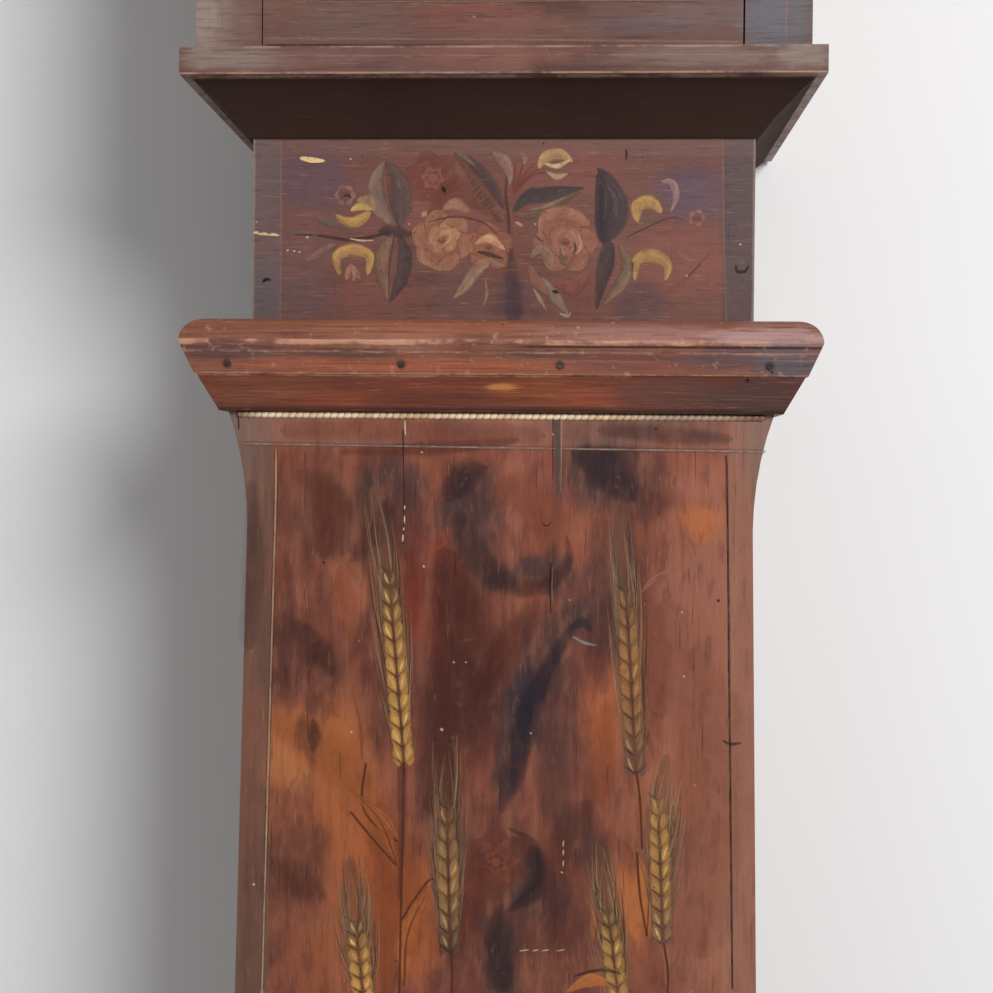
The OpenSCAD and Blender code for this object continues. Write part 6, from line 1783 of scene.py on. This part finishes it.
def dress_case():
    """Finishes of the boards, mouldings, doors and glass."""
    dress(trunk_paint(), "trunk_front", "trunk_door")
    dress(neck_paint(), "neck_front")
    dress(waist_paint(), "waist_moulding_front", "waist_moulding_returns", "cornice", "plinth_cap")
    dress(hood_paint(), "hood_moulding_front", "hood_moulding_returns", "hood_front_frame", "hood_door",
          "skirting")
    dress(side_paint(), "trunk_left_side", "trunk_right_side", "neck_sides", "hood_left_side",
          "hood_right_side", "plinth_panels")
    dress(bare_board(), "back_board", "hood_roof", "seat_board", "floor_board", "door_battens")
    dress(window_glass(), "hood_door_glass")


def dress_metal():
    """Finishes of the ironwork, the movement, the dial and the pendulum."""
    dress(iron(), "moulding_nails", "hood_hinge_knuckles", "trunk_hinge_knuckles", "door_hinge_pins",
          "lock_case", "movement_cage", "movement_straps", "pendulum_cock", "going_weight", "strike_weight")
    brass = polished("brass", srgb(206, 166, 92), srgb(132, 96, 50), 0.26)
    dress(brass, "hood_turn_button", "escutcheon", "centre_arbor", "minute_wheel", "going_great_wheel",
          "third_wheel", "escape_wheel", "pendulum_bob", "strike_great_wheel", "pin_wheel", "fly")
    dress(polished("bell_metal", srgb(198, 168, 112), srgb(140, 112, 70), 0.3, 22), "bell")
    steel = polished("steel", srgb(160, 158, 154), srgb(104, 98, 92), 0.3)
    dress(steel, "lock_bolt", "trunk_key", "bell_hammer", "anchor", "pendulum_rod")
    dress(polished("black_steel", srgb(44, 46, 54), srgb(24, 24, 28), 0.24), "minute_hand", "hour_hand")
    dress(enamel(), "dial")
    dress(wound_barrel(), "going_barrel", "strike_barrel")
    dress(pressed_brass(), "dial_surround")
    bob_rings(brass)


def lamp(name, at, aim, size, power):
    """A round white lamp, aimed at a point."""
    data = bpy.data.lights.new(name, "AREA")
    data.shape = "DISK"
    data.size = size
    data.energy = power
    obj = bpy.data.objects.new(name, data)
    obj.location = at
    obj.rotation_euler = (Vector(aim) - Vector(at)).to_track_quat("-Z", "Y").to_euler()
    bpy.context.scene.collection.objects.link(obj)


def stage_piece(name, corners, finish):
    """A flat sheet of the surroundings."""
    obj = mesh_object(name, corners, [(0, 1, 2, 3)], finish)


def studio():
    """Pale floor and wall, a broad soft lamp at the right and a soft fill."""
    floor = Finish("floor")
    patch = floor.noise(0.8, 2, 0.5)
    floor.set(Base_Color=floor.mix(patch, srgb(226, 226, 226), srgb(218, 218, 218)), Roughness=0.9)
    floor.set(Specular_IOR_Level=0.1)
    stage_piece("floor", [(-7, -9, 0), (7, -9, 0), (7, 7, 0), (-7, 7, 0)], floor)
    wall = Finish("wall")
    haze = wall.noise(0.7, 2, 0.5)
    wall.set(Base_Color=wall.mix(haze, srgb(246, 246, 246), srgb(242, 242, 242)), Roughness=0.95)
    wall.set(Specular_IOR_Level=0.1)
    # The wall shows only to eyes in front of it, so it casts no light or shade on the clock
    clear = wall.add("ShaderNodeBsdfTransparent", {}, whole=True)
    ray = wall.add("ShaderNodeLightPath", {}, whole=True)
    seen = [Signal(wall, ray.outputs[k]) for k in ("Is Camera Ray", "Is Glossy Ray", "Is Transmission Ray")]
    behind = wall.add("ShaderNodeNewGeometry", {}, out="Backfacing")
    shown = seen[0].math("MAXIMUM", seen[0].math("MAXIMUM", seen[0], seen[1]), seen[2]) * (1 - behind)
    blend = wall.add("ShaderNodeMixShader", {}, shown, whole=True)
    wall.tree.links.new(clear.outputs[0], blend.inputs[1])
    wall.tree.links.new(wall.shader.outputs[0], blend.inputs[2])
    wall.tree.links.new(blend.outputs[0], wall.output.inputs["Surface"])
    y = BACK_Y + 0.004
    stage_piece("wall", [(-7, y, 0), (7, y, 0), (7, y, 6), (-7, y, 6)], wall)
    world = bpy.data.worlds.new("daylight")
    world.use_nodes = True
    world.node_tree.nodes["Background"].inputs["Color"].default_value = (1, 1, 1, 1)
    world.node_tree.nodes["Background"].inputs["Strength"].default_value = 0.2
    bpy.context.scene.world = world
    lamp("key", (1.95, -2.8, 2.8), (0, 0, 1.5), 1.7, 112)
    lamp("fill", (-2.6, -3.0, 2.6), (0, 0, 1.4), 2.2, 10)


place_camera()
dress_case()
dress_metal()
PAINT = ornament_paint()
trunk_ornament(PAINT)
neck_ornament(PAINT)
case_lines(PAINT)
door_ornament(PAINT)
rope_bead(gilt())
HEMP = hemp()
laid_rope("going_rope", HEMP)
laid_rope("strike_rope", HEMP)
dial_marks(black_paint())
brass_relief(pressed_brass())
studio()
bpy.context.scene.view_settings.view_transform = "Standard"
